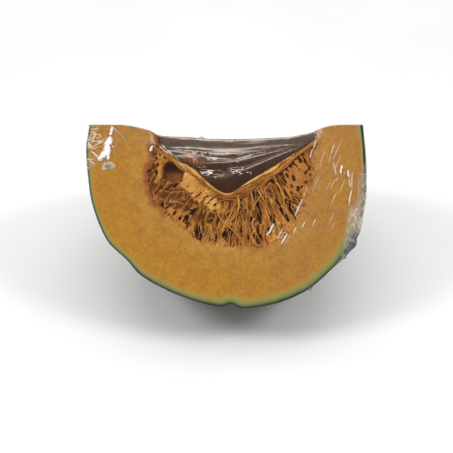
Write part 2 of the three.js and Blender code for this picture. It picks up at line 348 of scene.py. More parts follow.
def maths(tree, way, *numbers):
    """Arithmetic on one to three numbers."""
    return node(tree, "Math", dict(enumerate(numbers)), operation=way).outputs[0]


def times(tree, first, second):
    """Two numbers multiplied."""
    return maths(tree, "MULTIPLY", first, second)


def plus(tree, number, more, share):
    """A number with a share of another added."""
    return maths(tree, "MULTIPLY_ADD", more, share, number)


def span(tree, value, start, end):
    """0 where a number is at start, 1 where it is at end, with a smooth change between."""
    sockets = {"Value": value, "From Min": start, "From Max": end}
    return node(tree, "MapRange", sockets, interpolation_type="SMOOTHSTEP").outputs["Result"]


def mix(tree, share, first, second, way="MIX"):
    """Two colours mixed by a share."""
    sockets = {0: share, 6: first, 7: second}
    return node(tree, "Mix", sockets, data_type="RGBA", blend_type=way).outputs[2]


def coated(tree, colour, *coats):
    """A colour under coats of others: for each, the share that it covers and a screen colour."""
    for share, coat in coats:
        colour = mix(tree, share, colour, srgb(*coat))
    return colour


def shaded(tree, colour, grain, low, high, more=None):
    """A colour times a shade from low to high, as a grain goes from 0 to 1. more is added to the
    shade."""
    shade = node(tree, "MapRange", {"Value": grain, "To Min": low, "To Max": high}).outputs[0]
    if more is not None:
        shade = maths(tree, "ADD", shade, more)
    tint = node(tree, "CombineXYZ", {0: shade, 1: shade, 2: shade}).outputs[0]
    return mix(tree, 1.0, colour, tint, "MULTIPLY")


def solid(tree, colour, height, strength, depth, roughness, gloss=0.5):
    """A shader of a solid with a relief from a height, strong by strength, depth in metres."""
    sockets = {"Height": height, "Strength": strength, "Distance": depth}
    relief = node(tree, "Bump", sockets).outputs[0]
    sockets = {"Base Color": colour, "Roughness": roughness, "Normal": relief, "Specular IOR Level": gloss}
    return node(tree, "BsdfPrincipled", sockets).outputs[0]


def flesh_finish():
    """Moist golden flesh: greener to the rind, paler and pinker to the hollow, orange and fibrous
    at its wall, browner where its upper edge has dried and towards the blossom end, with a fine
    grain and short darker fibres that fan out from the hollow."""
    made, tree, place, output = finish("flesh")
    under, wall, fan, skin_deep = (
        feature(tree, name) for name in ("under_rind", "off_wall", "fan", "skin_deep"))
    patches = speckle(tree, place, 45.0, 3.0)
    blotches = speckle(tree, place, 160.0, 3.0)
    grain = speckle(tree, place, 620.0, 5.0, 0.75)
    freckles = speckle(tree, place, 330.0, 3.0, 0.65)
    lip = plus(tree, wall, blotches, -5.0)
    apart = node(tree, "SeparateXYZ", {0: place}).outputs
    dried = times(tree, span(tree, apart["Z"], 0.078, 0.099), 0.5)
    riper = times(tree, span(tree, apart["X"], -0.01, 0.06), 0.35)
    across = node(tree, "CombineXYZ", {0: fan, 1: times(tree, wall, 0.16)}).outputs[0]
    fibres = speckle(tree, across, 0.95, 3.0, 0.6)
    near = times(tree, span(tree, wall, 22.0, 1.0), span(tree, fibres, 0.56, 0.70))
    colour = coated(
        tree, srgb(182, 129, 36),
        (span(tree, plus(tree, wall, patches, 16.0), 25.0, 8.0), (188, 136, 58)),
        (span(tree, blotches, 0.35, 0.75), (172, 117, 42)),
        (span(tree, lip, 0.2, -3.2), (168, 102, 40)),
        (maths(tree, "MAXIMUM", dried, riper), (164, 117, 68)),
        (times(tree, near, 0.55), (132, 80, 30)),
    )
    freckled = times(tree, maths(tree, "SUBTRACT", freckles, 0.5), 0.42)
    colour = shaded(tree, colour, grain, 0.48, 1.52, freckled)
    band = plus(tree, under, patches, 0.5)
    green = ramp(tree, maths(tree, "DIVIDE", maths(tree, "SUBTRACT", band, 0.25), 2.0), [
        (0.0, (44, 52, 36)), (0.06, (66, 74, 44)), (0.14, (110, 112, 64)),
        (0.28, (134, 134, 78)), (0.44, (150, 142, 76)), (0.58, (172, 140, 56)),
    ])
    wet = times(tree, span(tree, lip, 1.6, -2.0), span(tree, apart["X"], -0.029, -0.036))
    colour = coated(
        tree, mix(tree, span(tree, band, 1.95, 1.1), colour, green),
        (times(tree, wet, 0.8), (140, 78, 32)),
        (span(tree, skin_deep, 1.15, 0.8), (44, 52, 50)),
    )
    output(solid(tree, colour, plus(tree, grain, fibres, 0.6), 0.3, 0.0004, 0.5, 0.3))
    return made


def rind_finish():
    """Waxy, near-black green rind with slate patches, paler flecked stripes in the grooves, and
    corky scars at the two poles."""
    made, tree, place, output = finish("rind")
    clouds = speckle(tree, place, 38.0, 4.0, 0.6)
    flecks = speckle(tree, place, 420.0, 3.0, 0.6)
    dots = node(tree, "TexVoronoi", {"Vector": place, "Scale": 240.0}).outputs["Distance"]
    stripe = times(tree, feature(tree, "groove"), span(tree, clouds, 0.3, 0.62))
    colour = coated(
        tree, ramp(tree, clouds, [(0.35, (20, 30, 19)), (0.55, (30, 43, 25)), (0.72, (42, 53, 38))]),
        (times(tree, stripe, 0.75), (92, 105, 68)),
        (times(tree, span(tree, flecks, 0.58, 0.74), 0.6), (80, 94, 62)),
        (times(tree, span(tree, dots, 0.22, 0.1), 0.4), (108, 118, 86)),
    )
    edge = plus(tree, feature(tree, "off_pole"), clouds, -6.0)
    cork = ramp(tree, speckle(tree, place, 500.0, 4.0), [(0.3, (110, 92, 62)), (0.7, (158, 140, 104))])
    colour = mix(tree, span(tree, edge, 4.6, 2.2), colour, cork)
    output(solid(tree, colour, plus(tree, flecks, clouds, 2.0), 0.35, 0.0006, 0.42, 0.45))
    return made


FAN_LINES = 320
fan_share = np.linspace(0, 1, FAN_LINES)
rind_line = curve(RIND, FAN_LINES)
wall_line = curve(WALL, FAN_LINES)
wall_arc = fan_share * np.linalg.norm(np.diff(wall_line, axis=0), axis=1).sum()
wall_out = outwards(wall_line)
# Depths of the points under the rind and over the wall, and how many steps lie between
NEAR_RIND = np.array([0, 0.25, 0.5, 0.8, 1.2, 1.7, 2.4, 3.3, 4.4, 5.8])
NEAR_WALL = np.array([2.4, 1.6, 1.0, 0.5, 0.2, 0])
STEPS_BETWEEN = 44


def cut_face(side):
    """One cut face as fan lines from the hollow's wall to the rind, with points packed near both.
    The flesh sinks a little along the wall and in slow waves between. Gives the points in metres,
    and how far each is from the rind and from the wall."""
    turn = side * FACE_TURN
    rind = rind_line.copy()
    rind[:, 1] += rib_relief(rind[:, 0], rind[:, 1], turn)
    wall = wall_line + wall_out * ragged(wall_arc, fan_share, turn)[:, None]
    wall[:, 1] = np.maximum(wall[:, 1], 0)
    length = np.linalg.norm(wall - rind, axis=1)[:, None]
    inner = length - NEAR_WALL
    between = NEAR_RIND[-1] + (inner[:, :1] - NEAR_RIND[-1]) * np.linspace(0, 1, STEPS_BETWEEN)[1:-1]
    depth = np.hstack([np.broadcast_to(NEAR_RIND, (FAN_LINES, len(NEAR_RIND))), between, inner])
    place = rind[:, None] + (wall - rind)[:, None] * (depth / length)[..., None]
    along, out = place[..., 0], place[..., 1]
    off_wall = to_line(place, wall)
    soft_edge = EDGE_SINK * bell(off_wall / EDGE_WIDTH) * (0.6 + 0.4 * field(along, out, 5))
    waves = 0.10 + 0.10 * field(along / 11, out / 30, 6)
    sink = (soft_edge + waves * unit((length - depth) / 3)) * unit(out / 3)
    points = set_down(along, out, turn) + sink[..., None] * face_inwards(side) * MM
    return points[:, ::-1], to_line(place, rind)[:, ::-1], off_wall[:, ::-1]


def between_faces(side, steps):
    """Turns of the lines that lead round from one cut face to the other, without those of the
    faces, at equal steps. side is that of the face where they start."""
    return np.linspace(side * FACE_TURN, -side * FACE_TURN, steps)[None, 1:-1]


ROUND = between_faces(-1, steps=90)
WALL_ROUND = between_faces(1, steps=44)
RIND_REST = 0.35 * MM  # room for the film under the squash

first, first_under, first_off = cut_face(-1)
second, second_under, second_off = (values[:, ::-1] for values in cut_face(1))
rind_along, rind_reach = rind_line[:, :1], rind_line[:, 1:]
rind_reach = rind_reach + rib_relief(rind_along, rind_reach, ROUND)
wall_wander = ragged(wall_arc[:, None], fan_share[:, None], WALL_ROUND)
wall_along = wall_line[:, :1] + wall_out[:, :1] * wall_wander
wall_reach = wall_line[:, 1:] + wall_out[:, 1:] * wall_wander
wedge_ring = [
    first, set_down(rind_along, np.maximum(rind_reach, 0), ROUND),
    second, set_down(wall_along, np.maximum(wall_reach, 0), WALL_ROUND),
]
wedge_rows = np.concatenate(wedge_ring, 1)
wedge_rows[..., 2] = np.maximum(wedge_rows[..., 2], RIND_REST)
turns = around(wedge_ring, -FACE_TURN, ROUND, FACE_TURN, 0)
# The green under the rind is widest towards the blossom end, and the dark skin too
green_width = np.interp(
    rind_along, (-75, -60, -45, -30, 10, 40, 56, 63, 70, 73.4, 74.6),
    (1.5, 1.8, 2.4, 3.0, 3.9, 3.8, 3.7, 4.6, 4.8, 3.0, 1.8),
)
skin_width = np.interp(rind_along, (-75, 56, 66, 74), (0.45, 0.5, 0.9, 1.3))
# The scar of the stalk is wider than that of the blossom
off_pole = np.minimum(
    np.linalg.norm(rind_line - rind_line[0], axis=1) * 0.62,
    np.linalg.norm(rind_line - rind_line[-1], axis=1) * 1.3,
)
# The uncut stretches get one number each: on the rind far from any wall, and on the hollow's wall
# deep under the rind and just beyond the flesh
face_steps, rind_steps, _, wall_steps = (part.shape[1] for part in wedge_ring)
wedge = skin(
    "squash_flesh_and_rind", wedge_rows, [flesh_finish(), rind_finish()], {
        "under_rind": around(wedge_ring, first_under / green_width, 0, second_under / green_width, 8),
        "skin_deep": around(wedge_ring, first_under / skin_width, 0, second_under / skin_width, 9),
        "off_wall": around(wedge_ring, first_off, 30, second_off, -1),
        "fan": wall_arc[:, None],
        "groove": np.exp(-5 * np.cos(4 * turns) ** 2),
        "off_pole": off_pole[:, None],
    },
    strip_finish=[0] * (face_steps - 1) + [1] * (rind_steps + 1) + [0] * (face_steps + wall_steps),
)
show(wedge, "rind_and_flesh", "squash_wedge")


# ---- Seed pulp -------------------------------------------------------------------------------
# What is left of the stringy pulp once the seeds are out: a net of strands that fans out from the
# open hollow to the flesh, with thin skins hung between them, empty seed pockets, and a smooth
# rim along the hollow. It grew fast to the flesh and was cut with it.

# The rim of the open hollow on both cut faces
HOLLOW = [
    (-36.6, 4.8), (-27, 15.9), (-16.7, 23.1), (-10.5, 30.4), (-3, 35.9), (3.4, 36.4), (12, 30.4),
    (24.3, 22.1), (34.6, 13.8), (48.3, 4.4),
]
# Skins on the first cut face: outline, how deep each lies, how pale, how dark
SKINS = [
    ([(-24.4, 30.5), (-21.5, 25), (-13.5, 24.5), (-6, 32.5), (-3.2, 37.5), (-4.8, 41.2), (-3.6, 45),
      (-7.4, 46.2), (-10, 43.4), (-15.4, 42), (-17.6, 38.4), (-22, 36.6)], 0.6, 0.8, 0.2),
    ([(29.5, 20), (38, 13.5), (46.8, 15), (47.5, 29), (43, 37), (36.5, 37), (31, 31)], 0.6, 0.05, 1.3),
    ([(-37.5, 34.5), (-30, 33), (-22, 35), (-15.5, 42), (-21, 46.8), (-31, 44.8)], 2.2, 0.15, 1.5),
    ([(-38, 9), (-34, 10), (-21, 21), (-23, 25), (-29, 17.5), (-34, 19), (-35.5, 31), (-38, 31)],
     0.8, 0.25, 0.6),
]
# The outline of a seed's empty place on the first cut face
SEED_POCKET = [
    (-34.2, 22), (-31.5, 17.7), (-26.8, 18.2), (-22.6, 25.2), (-23.6, 30.6), (-29, 31.2),
    (-34.3, 28.6),
]
# Gaps on the first cut face: along, out, half length, half width, lean in degrees, depth
PITS = [
    (-17.6, 46.7, 2.4, 1.5, -50, 7), (-21.3, 50.9, 2.6, 1.5, -20, 6), (-14.9, 57.9, 3.6, 2.2, 10, 7),
    (1.1, 59.3, 4.0, 3.1, 0, 8), (17.7, 46.1, 6.0, 1.6, 3, 8), (19.2, 61.5, 2.6, 2.0, 0, 7),
    (25.1, 50.4, 3.4, 1.5, 12, 6), (17.0, 38.5, 2.8, 0.9, 5, 5), (34.4, 20.0, 2.4, 1.2, 25, 4),
    (37.2, 15.8, 1.6, 0.7, 35, 3), (40.3, 18.0, 2.4, 1.0, 8, 4), (43.6, 20.5, 1.8, 0.7, 20, 3),
    (42.8, 25.6, 1.6, 0.8, -30, 3.5), (36.4, 28.9, 1.7, 1.0, 10, 3.5), (31.0, 30.6, 1.8, 1.2, 30, 4),
    (43.0, 30.9, 1.5, 0.7, -45, 3), (33.5, 24.8, 1.0, 0.6, 0, 2.5), (39.4, 24.0, 0.9, 0.5, 0, 2.5),
    (34.5, 45.2, 3.2, 1.1, 18, 5), (38.5, 34.5, 2.0, 0.9, 0, 4), (-30.0, 43.0, 1.6, 0.9, 60, 4),
    (-14.6, 37.8, 2.9, 0.45, -52, 3), (-10.6, 39.0, 1.7, 0.5, -62, 3), (-7.0, 39.9, 2.9, 0.4, -55, 3),
    (-9.6, 35.0, 1.1, 0.3, -66, 2.5), (-5.8, 43.2, 1.6, 0.6, -46, 3.5), (-18.2, 36.9, 1.2, 0.35, -64, 2.5),
    (-35.6, 13.2, 1.2, 0.6, 0, 3), (-33.0, 15.6, 1.0, 0.6, 30, 3), (-37.4, 26.0, 2.2, 0.7, 0, 4),
    (26.4, 54.6, 2.6, 1.2, 22, 6), (30.4, 55.0, 2.2, 0.9, 30, 5), (32.6, 50.6, 2.4, 0.9, 24, 5),
    (23.2, 57.4, 2.0, 1.0, 12, 5), (12.0, 60.6, 1.8, 0.8, 0, 5), (8.2, 57.0, 2.8, 0.9, -8, 5),
    (-27.4, 47.6, 1.3, 0.8, -50, 4), (-24.2, 50.0, 1.7, 0.9, -42, 5), (-31.4, 44.6, 1.1, 0.6, -55, 3.5),
    (-10.2, 59.4, 2.4, 1.1, -8, 6), (-5.6, 60.6, 2.0, 0.9, 0, 5), (-20.2, 54.2, 1.8, 1.0, -35, 5),
    (13.6, 52.4, 3.2, 0.8, 6, 5), (22.6, 47.2, 3.0, 0.8, 12, 5), (29.6, 46.0, 2.8, 0.9, 20, 5),
    (3.6, 50.6, 3.0, 0.7, -4, 4.5), (-4.2, 51.6, 2.8, 0.7, -12, 4.5), (27.0, 40.8, 2.4, 0.7, 14, 4),
    (-12.8, 41.6, 2.6, 0.4, -50, 2.5), (-20.6, 33.4, 1.0, 0.3, -56, 2.5), (-9.4, 42.2, 1.3, 0.45, -58, 3),
    (45.6, 27.4, 1.4, 0.5, 30, 3), (38.0, 21.4, 1.2, 0.5, 15, 3), (41.6, 14.6, 1.6, 0.6, 20, 3),
    (45.4, 17.2, 1.3, 0.5, 12, 3), (40.6, 33.6, 1.2, 0.6, -40, 3), (35.2, 33.2, 1.3, 0.6, 20, 3.5),
    (32.2, 23.2, 2.0, 0.8, 32, 4), (36.2, 18.8, 2.2, 0.7, 22, 4), (39.2, 15.8, 1.7, 0.6, 15, 4),
    (42.4, 17.4, 2.4, 0.7, 12, 4), (44.8, 23.0, 1.9, 0.6, -10, 4), (46.4, 20.6, 2.2, 0.6, 0, 4),
    (33.0, 27.6, 1.6, 0.6, 28, 3.5), (46.6, 24.6, 2.0, 0.5, -6, 3.5), (29.8, 26.6, 2.4, 0.7, 36, 4),
    (-2.4, 40.8, 1.2, 0.5, -40, 3), (0.8, 42.2, 1.3, 0.4, -20, 3), (3.6, 40.6, 0.9, 0.4, 30, 3),
    (-0.6, 38.6, 0.7, 0.4, 0, 2.5), (5.8, 42.4, 1.2, 0.4, 20, 3), (8.2, 39.8, 0.9, 0.4, 40, 2.5),
    (-37.6, 15.8, 1.4, 0.6, 10, 3.5), (-36.8, 20.6, 1.6, 0.6, -8, 3.5),
]

PULP_LINES = 480
PULP_GAP = 0.25   # to the wall, further in
UNDER_LIP = 0.6   # how far the cut strands reach in under the edge of the flesh
STRAND_CELL = (3.3, 12.5)  # across the fan and along it
THREAD_CELL = (1.25, 7.5)
POCKET_DEPTH = 7.5
DEEPEST_PAINTED_SHADE = 6  # the most painted shade in the gaps of a cut face; the free surface is painted darker still
RIM_WIDTH = 2.6  # of the smooth rim along the hollow
LEAST_REACH = 2.0  # from the axis to the free surface
NET_SEED = {-1: 20, 1: 50}
pulp_share = np.linspace(0, 1, PULP_LINES)
hollow_line = curve(HOLLOW, PULP_LINES)
inner_wall = curve([HOLLOW[0], *WALL[2:-1], HOLLOW[-1]], PULP_LINES)
pulp_arc = pulp_share * np.linalg.norm(np.diff(inner_wall, axis=0), axis=1).sum()
pulp_out = outwards(inner_wall)


def net(across, run, seed):
    """A net of cells, one to each whole number of across and run, with its middle at random. Gives
    how far a place is from its cell's border, 0 on it, and two random numbers of the cell, from
    the distances to the nearest and second nearest of the nine middles around the place."""
    random = np.random.default_rng(seed).uniform(0, 1, (4, 128, 128))
    i, j = np.floor(across).astype(int), np.floor(run).astype(int)
    reach, own, tone = [], [], []
    for step in np.ndindex(3, 3):
        a, b = i + step[0] - 1, j + step[1] - 1
        cell = random[:, a % 128, b % 128]
        reach.append(np.hypot(across - a - 0.1 - 0.8 * cell[0], run - b - cell[1]))
        own.append(cell[2])
        tone.append(cell[3])
    near = np.argmin(reach, 0)[None]
    two = np.partition(np.array(reach), 1, axis=0)
    own, tone = (np.take_along_axis(np.array(numbers), near, 0)[0] for numbers in (own, tone))
    return two[1] - two[0], own, tone


def inside(along, out, outline):
    """How far a place lies inside a closed outline, negative outside it: the distance to its
    nearest side, with the sign from counting the sides that a line to the right would cross."""
    starts = np.array(outline, float)
    nearest, within = np.full(along.shape, 1e9), np.zeros(along.shape, bool)
    for (x0, y0), (x1, y1) in zip(starts, np.roll(starts, -1, axis=0)):
        x, y, dx, dy = along - x0, out - y0, x1 - x0, y1 - y0
        t = unit((x * dx + y * dy) / (dx * dx + dy * dy))
        nearest = np.minimum(nearest, np.hypot(x - t * dx, y - t * dy))
        within ^= ((y0 > out) != (y1 > out)) & (x < dx * y / (dy if dy else 1e-9))
    return np.where(within, nearest, -nearest)


def ovals(along, out, shapes):
    """For each oval, how far each place is from its middle, 1 at its edge, and its last number."""
    for middle_along, middle_out, long, wide, lean, weight in shapes:
        x, y = along - middle_along, out - middle_out
        c, s = np.cos(np.radians(lean)), np.sin(np.radians(lean))
        yield np.hypot((x * c - y * s) / wide, (x * s + y * c) / long), weight


def strand_net(arc, run, off_wall, along, out, seed):
    """How deep the pulp lies, how pale and rusty it is, and how much painted shade and tone it gets, where it
    is a net: its strands are the borders of cells stretched along the fan, with a finer net inside, and each
    cell is a thin skin at a depth of its own, a few of them open. The deeper a place lies, and the more open
    its cell, the more painted shade it gets. The roots at the flesh come up to the cut. Also gives how much
    of a strand and of a fine thread each place is."""
    bend = arc + 2.2 * field(arc / 10, run / 14, seed) + 0.8 * field(arc / 3.1, run / 6, seed + 1)
    gap, own, tone = net(bend / STRAND_CELL[0], run / STRAND_CELL[1], seed + 2)
    fine_gap, fine_own, fine_tone = net(bend / THREAD_CELL[0], run / THREAD_CELL[1], seed + 3)
    strand = bell(gap / 0.19)
    thread = bell(fine_gap / 0.24)
    level = 0.55 + 0.4 * field(along / 8, out / 8, seed + 4)
    cell = 0.5 + 1.3 * tone
    opened = unit(own * 1.6 - 0.75) ** 1.5
    depth = level + (1 - strand) * (cell + 2.8 * opened) * (1 - 0.5 * thread)
    rust = 0.7 * unit(fine_tone * 2.4 - 1.4)
    pale = 0.55 * unit(fine_own * 2.2 - 1.2) * strand
    root = bell(off_wall / (1.6 + 1.2 * tone)) * unit((0.86 - own) * 5)
    depth = depth * (1 - 0.85 * root) + 0.1 * root
    # Painted shade: the deeper a place lies and the more open its cell, the darker it is coloured.
    painted_shade_and_tone = depth + 1.6 * opened * (1 - strand) * (1 - root)
    depth = np.maximum(depth, 1.05 * unit((1.3 - off_wall) / 0.8))
    return depth, painted_shade_and_tone, pale, rust, strand, thread


def pulp_relief(arc, run, off_wall, along, out, side):
    """How deep the pulp lies under a cut face, how pale and rusty it is, and how much painted shade and tone
    it gets: the net of strands, covered by the skins and along the hollow by a smooth rim of cords with a
    rusty seam. Gaps go through all of it, with painted shade in them, in the crevice, between the cords and
    in the holes of torn skins. The first face has a seed pocket, painted dark as shade at its top and lighter
    on its floor as if lit, and a crevice at the stem end. The second has every third gap, mirrored, and its
    rim painted dark as shade."""
    seed = NET_SEED[side]
    depth, painted_shade_and_tone, pale, rust, strand, thread = strand_net(arc, run, off_wall, along, out, seed)

    ragged_edge = 0.9 * field(along / 2.2, out / 2.2, seed + 7)
    if side < 0:
        crumple = 0.35 * field(along / 3, out / 3, seed + 5) + 0.15 * field(along, out, seed + 6)
        for outline, deep, how_pale, how_dark in SKINS:
            torn = deep > 2
            cover = unit(inside(along, out, outline) + ragged_edge * (1 + 0.8 * torn) + 0.5)
            web = (0.35 + 0.75 * torn) * (1 - thread) * (1 - 0.6 * strand)
            depth = blend(depth, deep + crumple + web, cover)
            # A skin's own tone, with painted shade in the holes of a torn one.
            painted_shade_and_tone = blend(painted_shade_and_tone, how_dark + 1.2 * web * torn, cover)
            pale = blend(pale, how_pale * (0.75 + 0.5 * field(along / 3, out / 3, seed + 8)), cover)
            rust *= 1 - 0.8 * cover

    right = along > 6
    width = RIM_WIDTH + 0.9 * field(arc / 9, 0 * arc, seed + 9) + 3.4 * bell((along - 22) / 15)
    band = unit((width - run) / 0.7)
    cords = 1 - np.abs(field(run / 0.9, arc / 12, seed + 10))
    depth = blend(depth, 0.75 - 0.45 * cords ** 2, band)
    # Painted shade between the rim's cords; on the second face the whole rim is painted dark as shade.
    painted_shade_and_tone = blend(painted_shade_and_tone, 0.7 * (1 - cords), band) + 4.5 * band * (side > 0)
    smooth = unit((along - 5) / 6) * unit(width - 1.4 - run)
    smooth = np.maximum(0.65 * smooth, 0.5 * bell((along + 14) / 7))
    pale = blend(pale, (0.35 + smooth) * (side < 0), band)
    seam = bell((run - width) / (0.7 + 0.4 * right))
    plain = side * bell((along + 13) / 7)
    rust = np.maximum(rust * (1 - band), (0.7 + 0.3 * right + np.minimum(plain, 0)) * seam)

    pits = PITS if side < 0 else [(3 - 0.85 * a, o, l, w, -t, d) for a, o, l, w, t, d in PITS[::3]]
    wobble = 0.3 * field(along / 1.3, out / 1.3, seed + 11) + 0.2 * field(along / 0.6, out / 0.6, seed + 14)
    for reach, deep in ovals(along, out, pits):
        bowl = unit((1.05 - reach - wobble) * 2.6)
        depth = np.maximum(depth, 0.55 * bowl ** 0.8 * deep)
        # Painted shade in each gap, deepest in its middle.
        painted_shade_and_tone = np.maximum(painted_shade_and_tone, 1.3 * bowl ** 0.6 * deep)
        pale *= 1 - bowl

    if side < 0:
        pocket = unit((inside(along, out, SEED_POCKET) + 0.4 * ragged_edge + 0.2) * 0.8)
        depth = np.maximum(depth, POCKET_DEPTH * pocket ** 0.7)
        # The floor of the seed pocket, which is painted lighter as if lit.
        floor = unit((out - 23.0) / 3) * (1 - unit((np.abs(along + 28) - 3) / 5))
        pale *= 1 - pocket
        rust *= 1 - pocket
        crevice = bell((off_wall - 2) / 3.0) * unit((-30 - along) / 4)
        rust = np.maximum(rust, 1.3 * crevice * unit(0.6 + field(along / 1.6, out / 2.4, seed + 12)))
        depth = np.maximum(depth, 2.8 * crevice * unit(field(along / 1.4, out / 3, seed + 13) + 0.35))
        # Painted shade in the crevice, and in the seed pocket: dark at its top, lighter on its lit floor.
        painted_shade_and_tone = blend(np.maximum(painted_shade_and_tone + 0.8 * crevice, depth - 2.2), 4.3 - 2.9 * floor, pocket)
    return depth, np.minimum(painted_shade_and_tone, DEEPEST_PAINTED_SHADE), unit(pale), unit(rust)


def pulp_face(side, steps):
    """One cut face of the pulp, from the hollow's rim to the wall, its edges rounded in: points, how much
    painted shade and tone they get, and how pale and rusty they are."""
    turn = side * FACE_TURN
    wall = inner_wall + pulp_out * (ragged(pulp_arc, pulp_share, turn) + UNDER_LIP)[:, None]
    part = np.linspace(0, 1, steps)[None, :]
    place = blend(hollow_line[:, None], wall[:, None], part[..., None])
    along, out = place[..., 0], np.maximum(place[..., 1], 0.3)
    fan = np.linalg.norm(wall - hollow_line, axis=1)[:, None]
    arc = np.broadcast_to(pulp_arc[:, None], along.shape)
    depth, *looks = pulp_relief(arc, part * fan, (1 - part) * fan, along, out, side)
    depth = blend(0.3, depth, unit(np.sin(np.pi * pulp_share) * 14)[:, None])
    rim = bell(part * fan / 0.7)
    points = set_down(along, out, turn) + (depth + 0.9 * rim)[..., None] * face_inwards(side) * MM
    return points, *looks


def hollow_relief(arc, turns):
    """How far the free surface stands in or out: slack folds, with fibres that run slantwise."""
    slant = arc + 26 * turns
    fibres = 1 - np.abs(field(slant / 2.1, turns * 5, 80))
    return 0.7 * field(arc / 9, turns * 4, 81) + 0.8 * fibres ** 3 - 0.6


def pulp_finish():
    """Moist orange-tan strands with pale yellow skins and rusty stretches, painted darker as shade the deeper
    they lie, to red-brown and almost black in the gaps."""
    made, tree, place, output = finish("pulp")
    patches = speckle(tree, place, 140.0, 3.0)
    grain = speckle(tree, place, 1100.0, 3.0, 0.6)
    # Painted shade, with some tone: red-brown to almost black by how deep a place lies.
    deep = plus(tree, feature(tree, "painted_shade_and_tone"), patches, 1.2)
    colour = coated(
        tree, ramp(tree, patches, [(0.3, (160, 96, 32)), (0.5, (186, 120, 44)), (0.7, (206, 144, 64))]),
        (feature(tree, "pale"), (224, 174, 90)),
        (times(tree, feature(tree, "rust"), 0.85), (122, 62, 26)),
        (span(tree, deep, 1.3, 3.4), (124, 72, 30)),
        (span(tree, deep, 3.2, 6.6), (65, 38, 20)),
        (span(tree, deep, 7.2, 9.0), (68, 33, 6)),
    )
    colour = shaded(tree, colour, grain, 0.82, 1.18)
    output(solid(tree, colour, grain, 0.4, 0.0004, 0.45, 0.25))
    return made


PULP_ROUND = between_faces(-1, steps=9)
HOLLOW_ROUND = between_faces(1, steps=42)
arc_column = pulp_arc[:, None]

first, first_painted_shade, first_pale, first_rust = pulp_face(-1, steps=96)
second, second_painted_shade, second_pale, second_rust = (values[:, ::-1] for values in pulp_face(1, steps=46))
pulp_wander = ragged(arc_column, pulp_share[:, None], PULP_ROUND) - PULP_GAP
back_along = inner_wall[:, :1] + pulp_out[:, :1] * pulp_wander
back_reach = inner_wall[:, 1:] + pulp_out[:, 1:] * pulp_wander
slack = hollow_relief(arc_column, HOLLOW_ROUND) * unit(np.sin(np.pi * pulp_share) * 4)[:, None]
hollow_reach = np.maximum(hollow_line[:, 1:] - slack, LEAST_REACH)
pulp_ring = [
    first, set_down(back_along, back_reach, PULP_ROUND),
    second, set_down(hollow_line[:, :1], hollow_reach, HOLLOW_ROUND),
]
# The free surface is painted dark inside as shade, painted lighter along the first rim where light comes in,
# and has one painted patch of light
inside_painted_shade = 7.4 + 1.6 * field(arc_column / 4 + 6 * HOLLOW_ROUND, HOLLOW_ROUND * 6, 82)
inside_painted_shade = blend(inside_painted_shade, 2.2, bell((HOLLOW_ROUND + FACE_TURN) / 0.10))
off_patch = ((hollow_line[:, :1] + 18.5) / 7.5) ** 2 + ((HOLLOW_ROUND - 0.18) / 0.24) ** 2
mottle = np.clip(0.8 + 0.4 * field(arc_column / 2, HOLLOW_ROUND * 9, 83), 0.5, 1)
painted_light_patch = np.exp(-off_patch) * mottle
inside_painted_shade *= 1 - painted_light_patch
pulp_material = pulp_finish()
# On the free surface, pale is the painted patch of light, and its shade is painted too.
bed = skin("seed_pulp_bed", np.concatenate(pulp_ring, 1), [pulp_material], {
    "painted_shade_and_tone": around(pulp_ring, first_painted_shade, DEEPEST_PAINTED_SHADE, second_painted_shade, inside_painted_shade),
    "pale": around(pulp_ring, first_pale, 0, second_pale, 0.6 * painted_light_patch),
    "rust": around(pulp_ring, first_rust, 0, second_rust, 0.3),
})
show(bed, "pulp", "seed_pulp")


# ---- Pulp strands ----------------------------------------------------------------------------
# Fibres that the knife left standing: each is a wet thread rooted in the pulp, most of them along
# the fan from the hollow to the flesh, some along the rim, a few long ones looped across the cut.

def strands(name, along, out, sunk, thick, tone, side, sides=5):
    """Threads along rows of places on a cut face, sunk under it and thick at each step, all in
    millimetres. Each is a tube whose ends close to a point. tone is how pale each is, or how
    rusty where negative."""
    inwards = face_inwards(side)
    middle = set_down(along, np.maximum(out, 0.5), side * FACE_TURN) + sunk[..., None] * inwards * MM
    ahead = np.gradient(middle, axis=1)
    ahead /= np.linalg.norm(ahead, axis=2)[..., None] + 1e-12
    beside = np.cross(ahead, inwards)
    beside /= np.linalg.norm(beside, axis=2)[..., None] + 1e-12
    upright = np.cross(beside, ahead)
    turn = np.linspace(0, 2 * np.pi, sides, endpoint=False)
    ring = beside[:, :, None] * np.cos(turn)[:, None] + upright[:, :, None] * np.sin(turn)[:, None]
    points = middle[:, :, None] + ring * (thick * MM)[:, :, None, None]
    number, steps = along.shape
    n, i, j = np.meshgrid(np.arange(number), np.arange(steps - 1), np.arange(sides), indexing="ij")
    here, k = (n * steps + i) * sides, (j + 1) % sides
    quads = np.stack([here + j, here + sides + j, here + sides + k, here + k], -1)
    return mesh(name, points, quads, [pulp_material], {
        # Painted shade: the deeper a thread is sunk, the darker it is coloured.
        "painted_shade_and_tone": 0.9 * np.clip(sunk, 0, 9)[..., None],
        "pale": unit(tone)[..., None],
        "rust": unit(-tone)[..., None],
    }, crease=80)


def on_fan(arc, part):
    """Places on a cut face from the arc along the wall and the part of the way from the hollow's
    rim to the wall."""
    at = unit(arc / pulp_arc[-1])
    return tuple(
        blend(np.interp(at, pulp_share, hollow_line[:, k]), np.interp(at, pulp_share, inner_wall[:, k]), part)
        for k in (0, 1)
    )


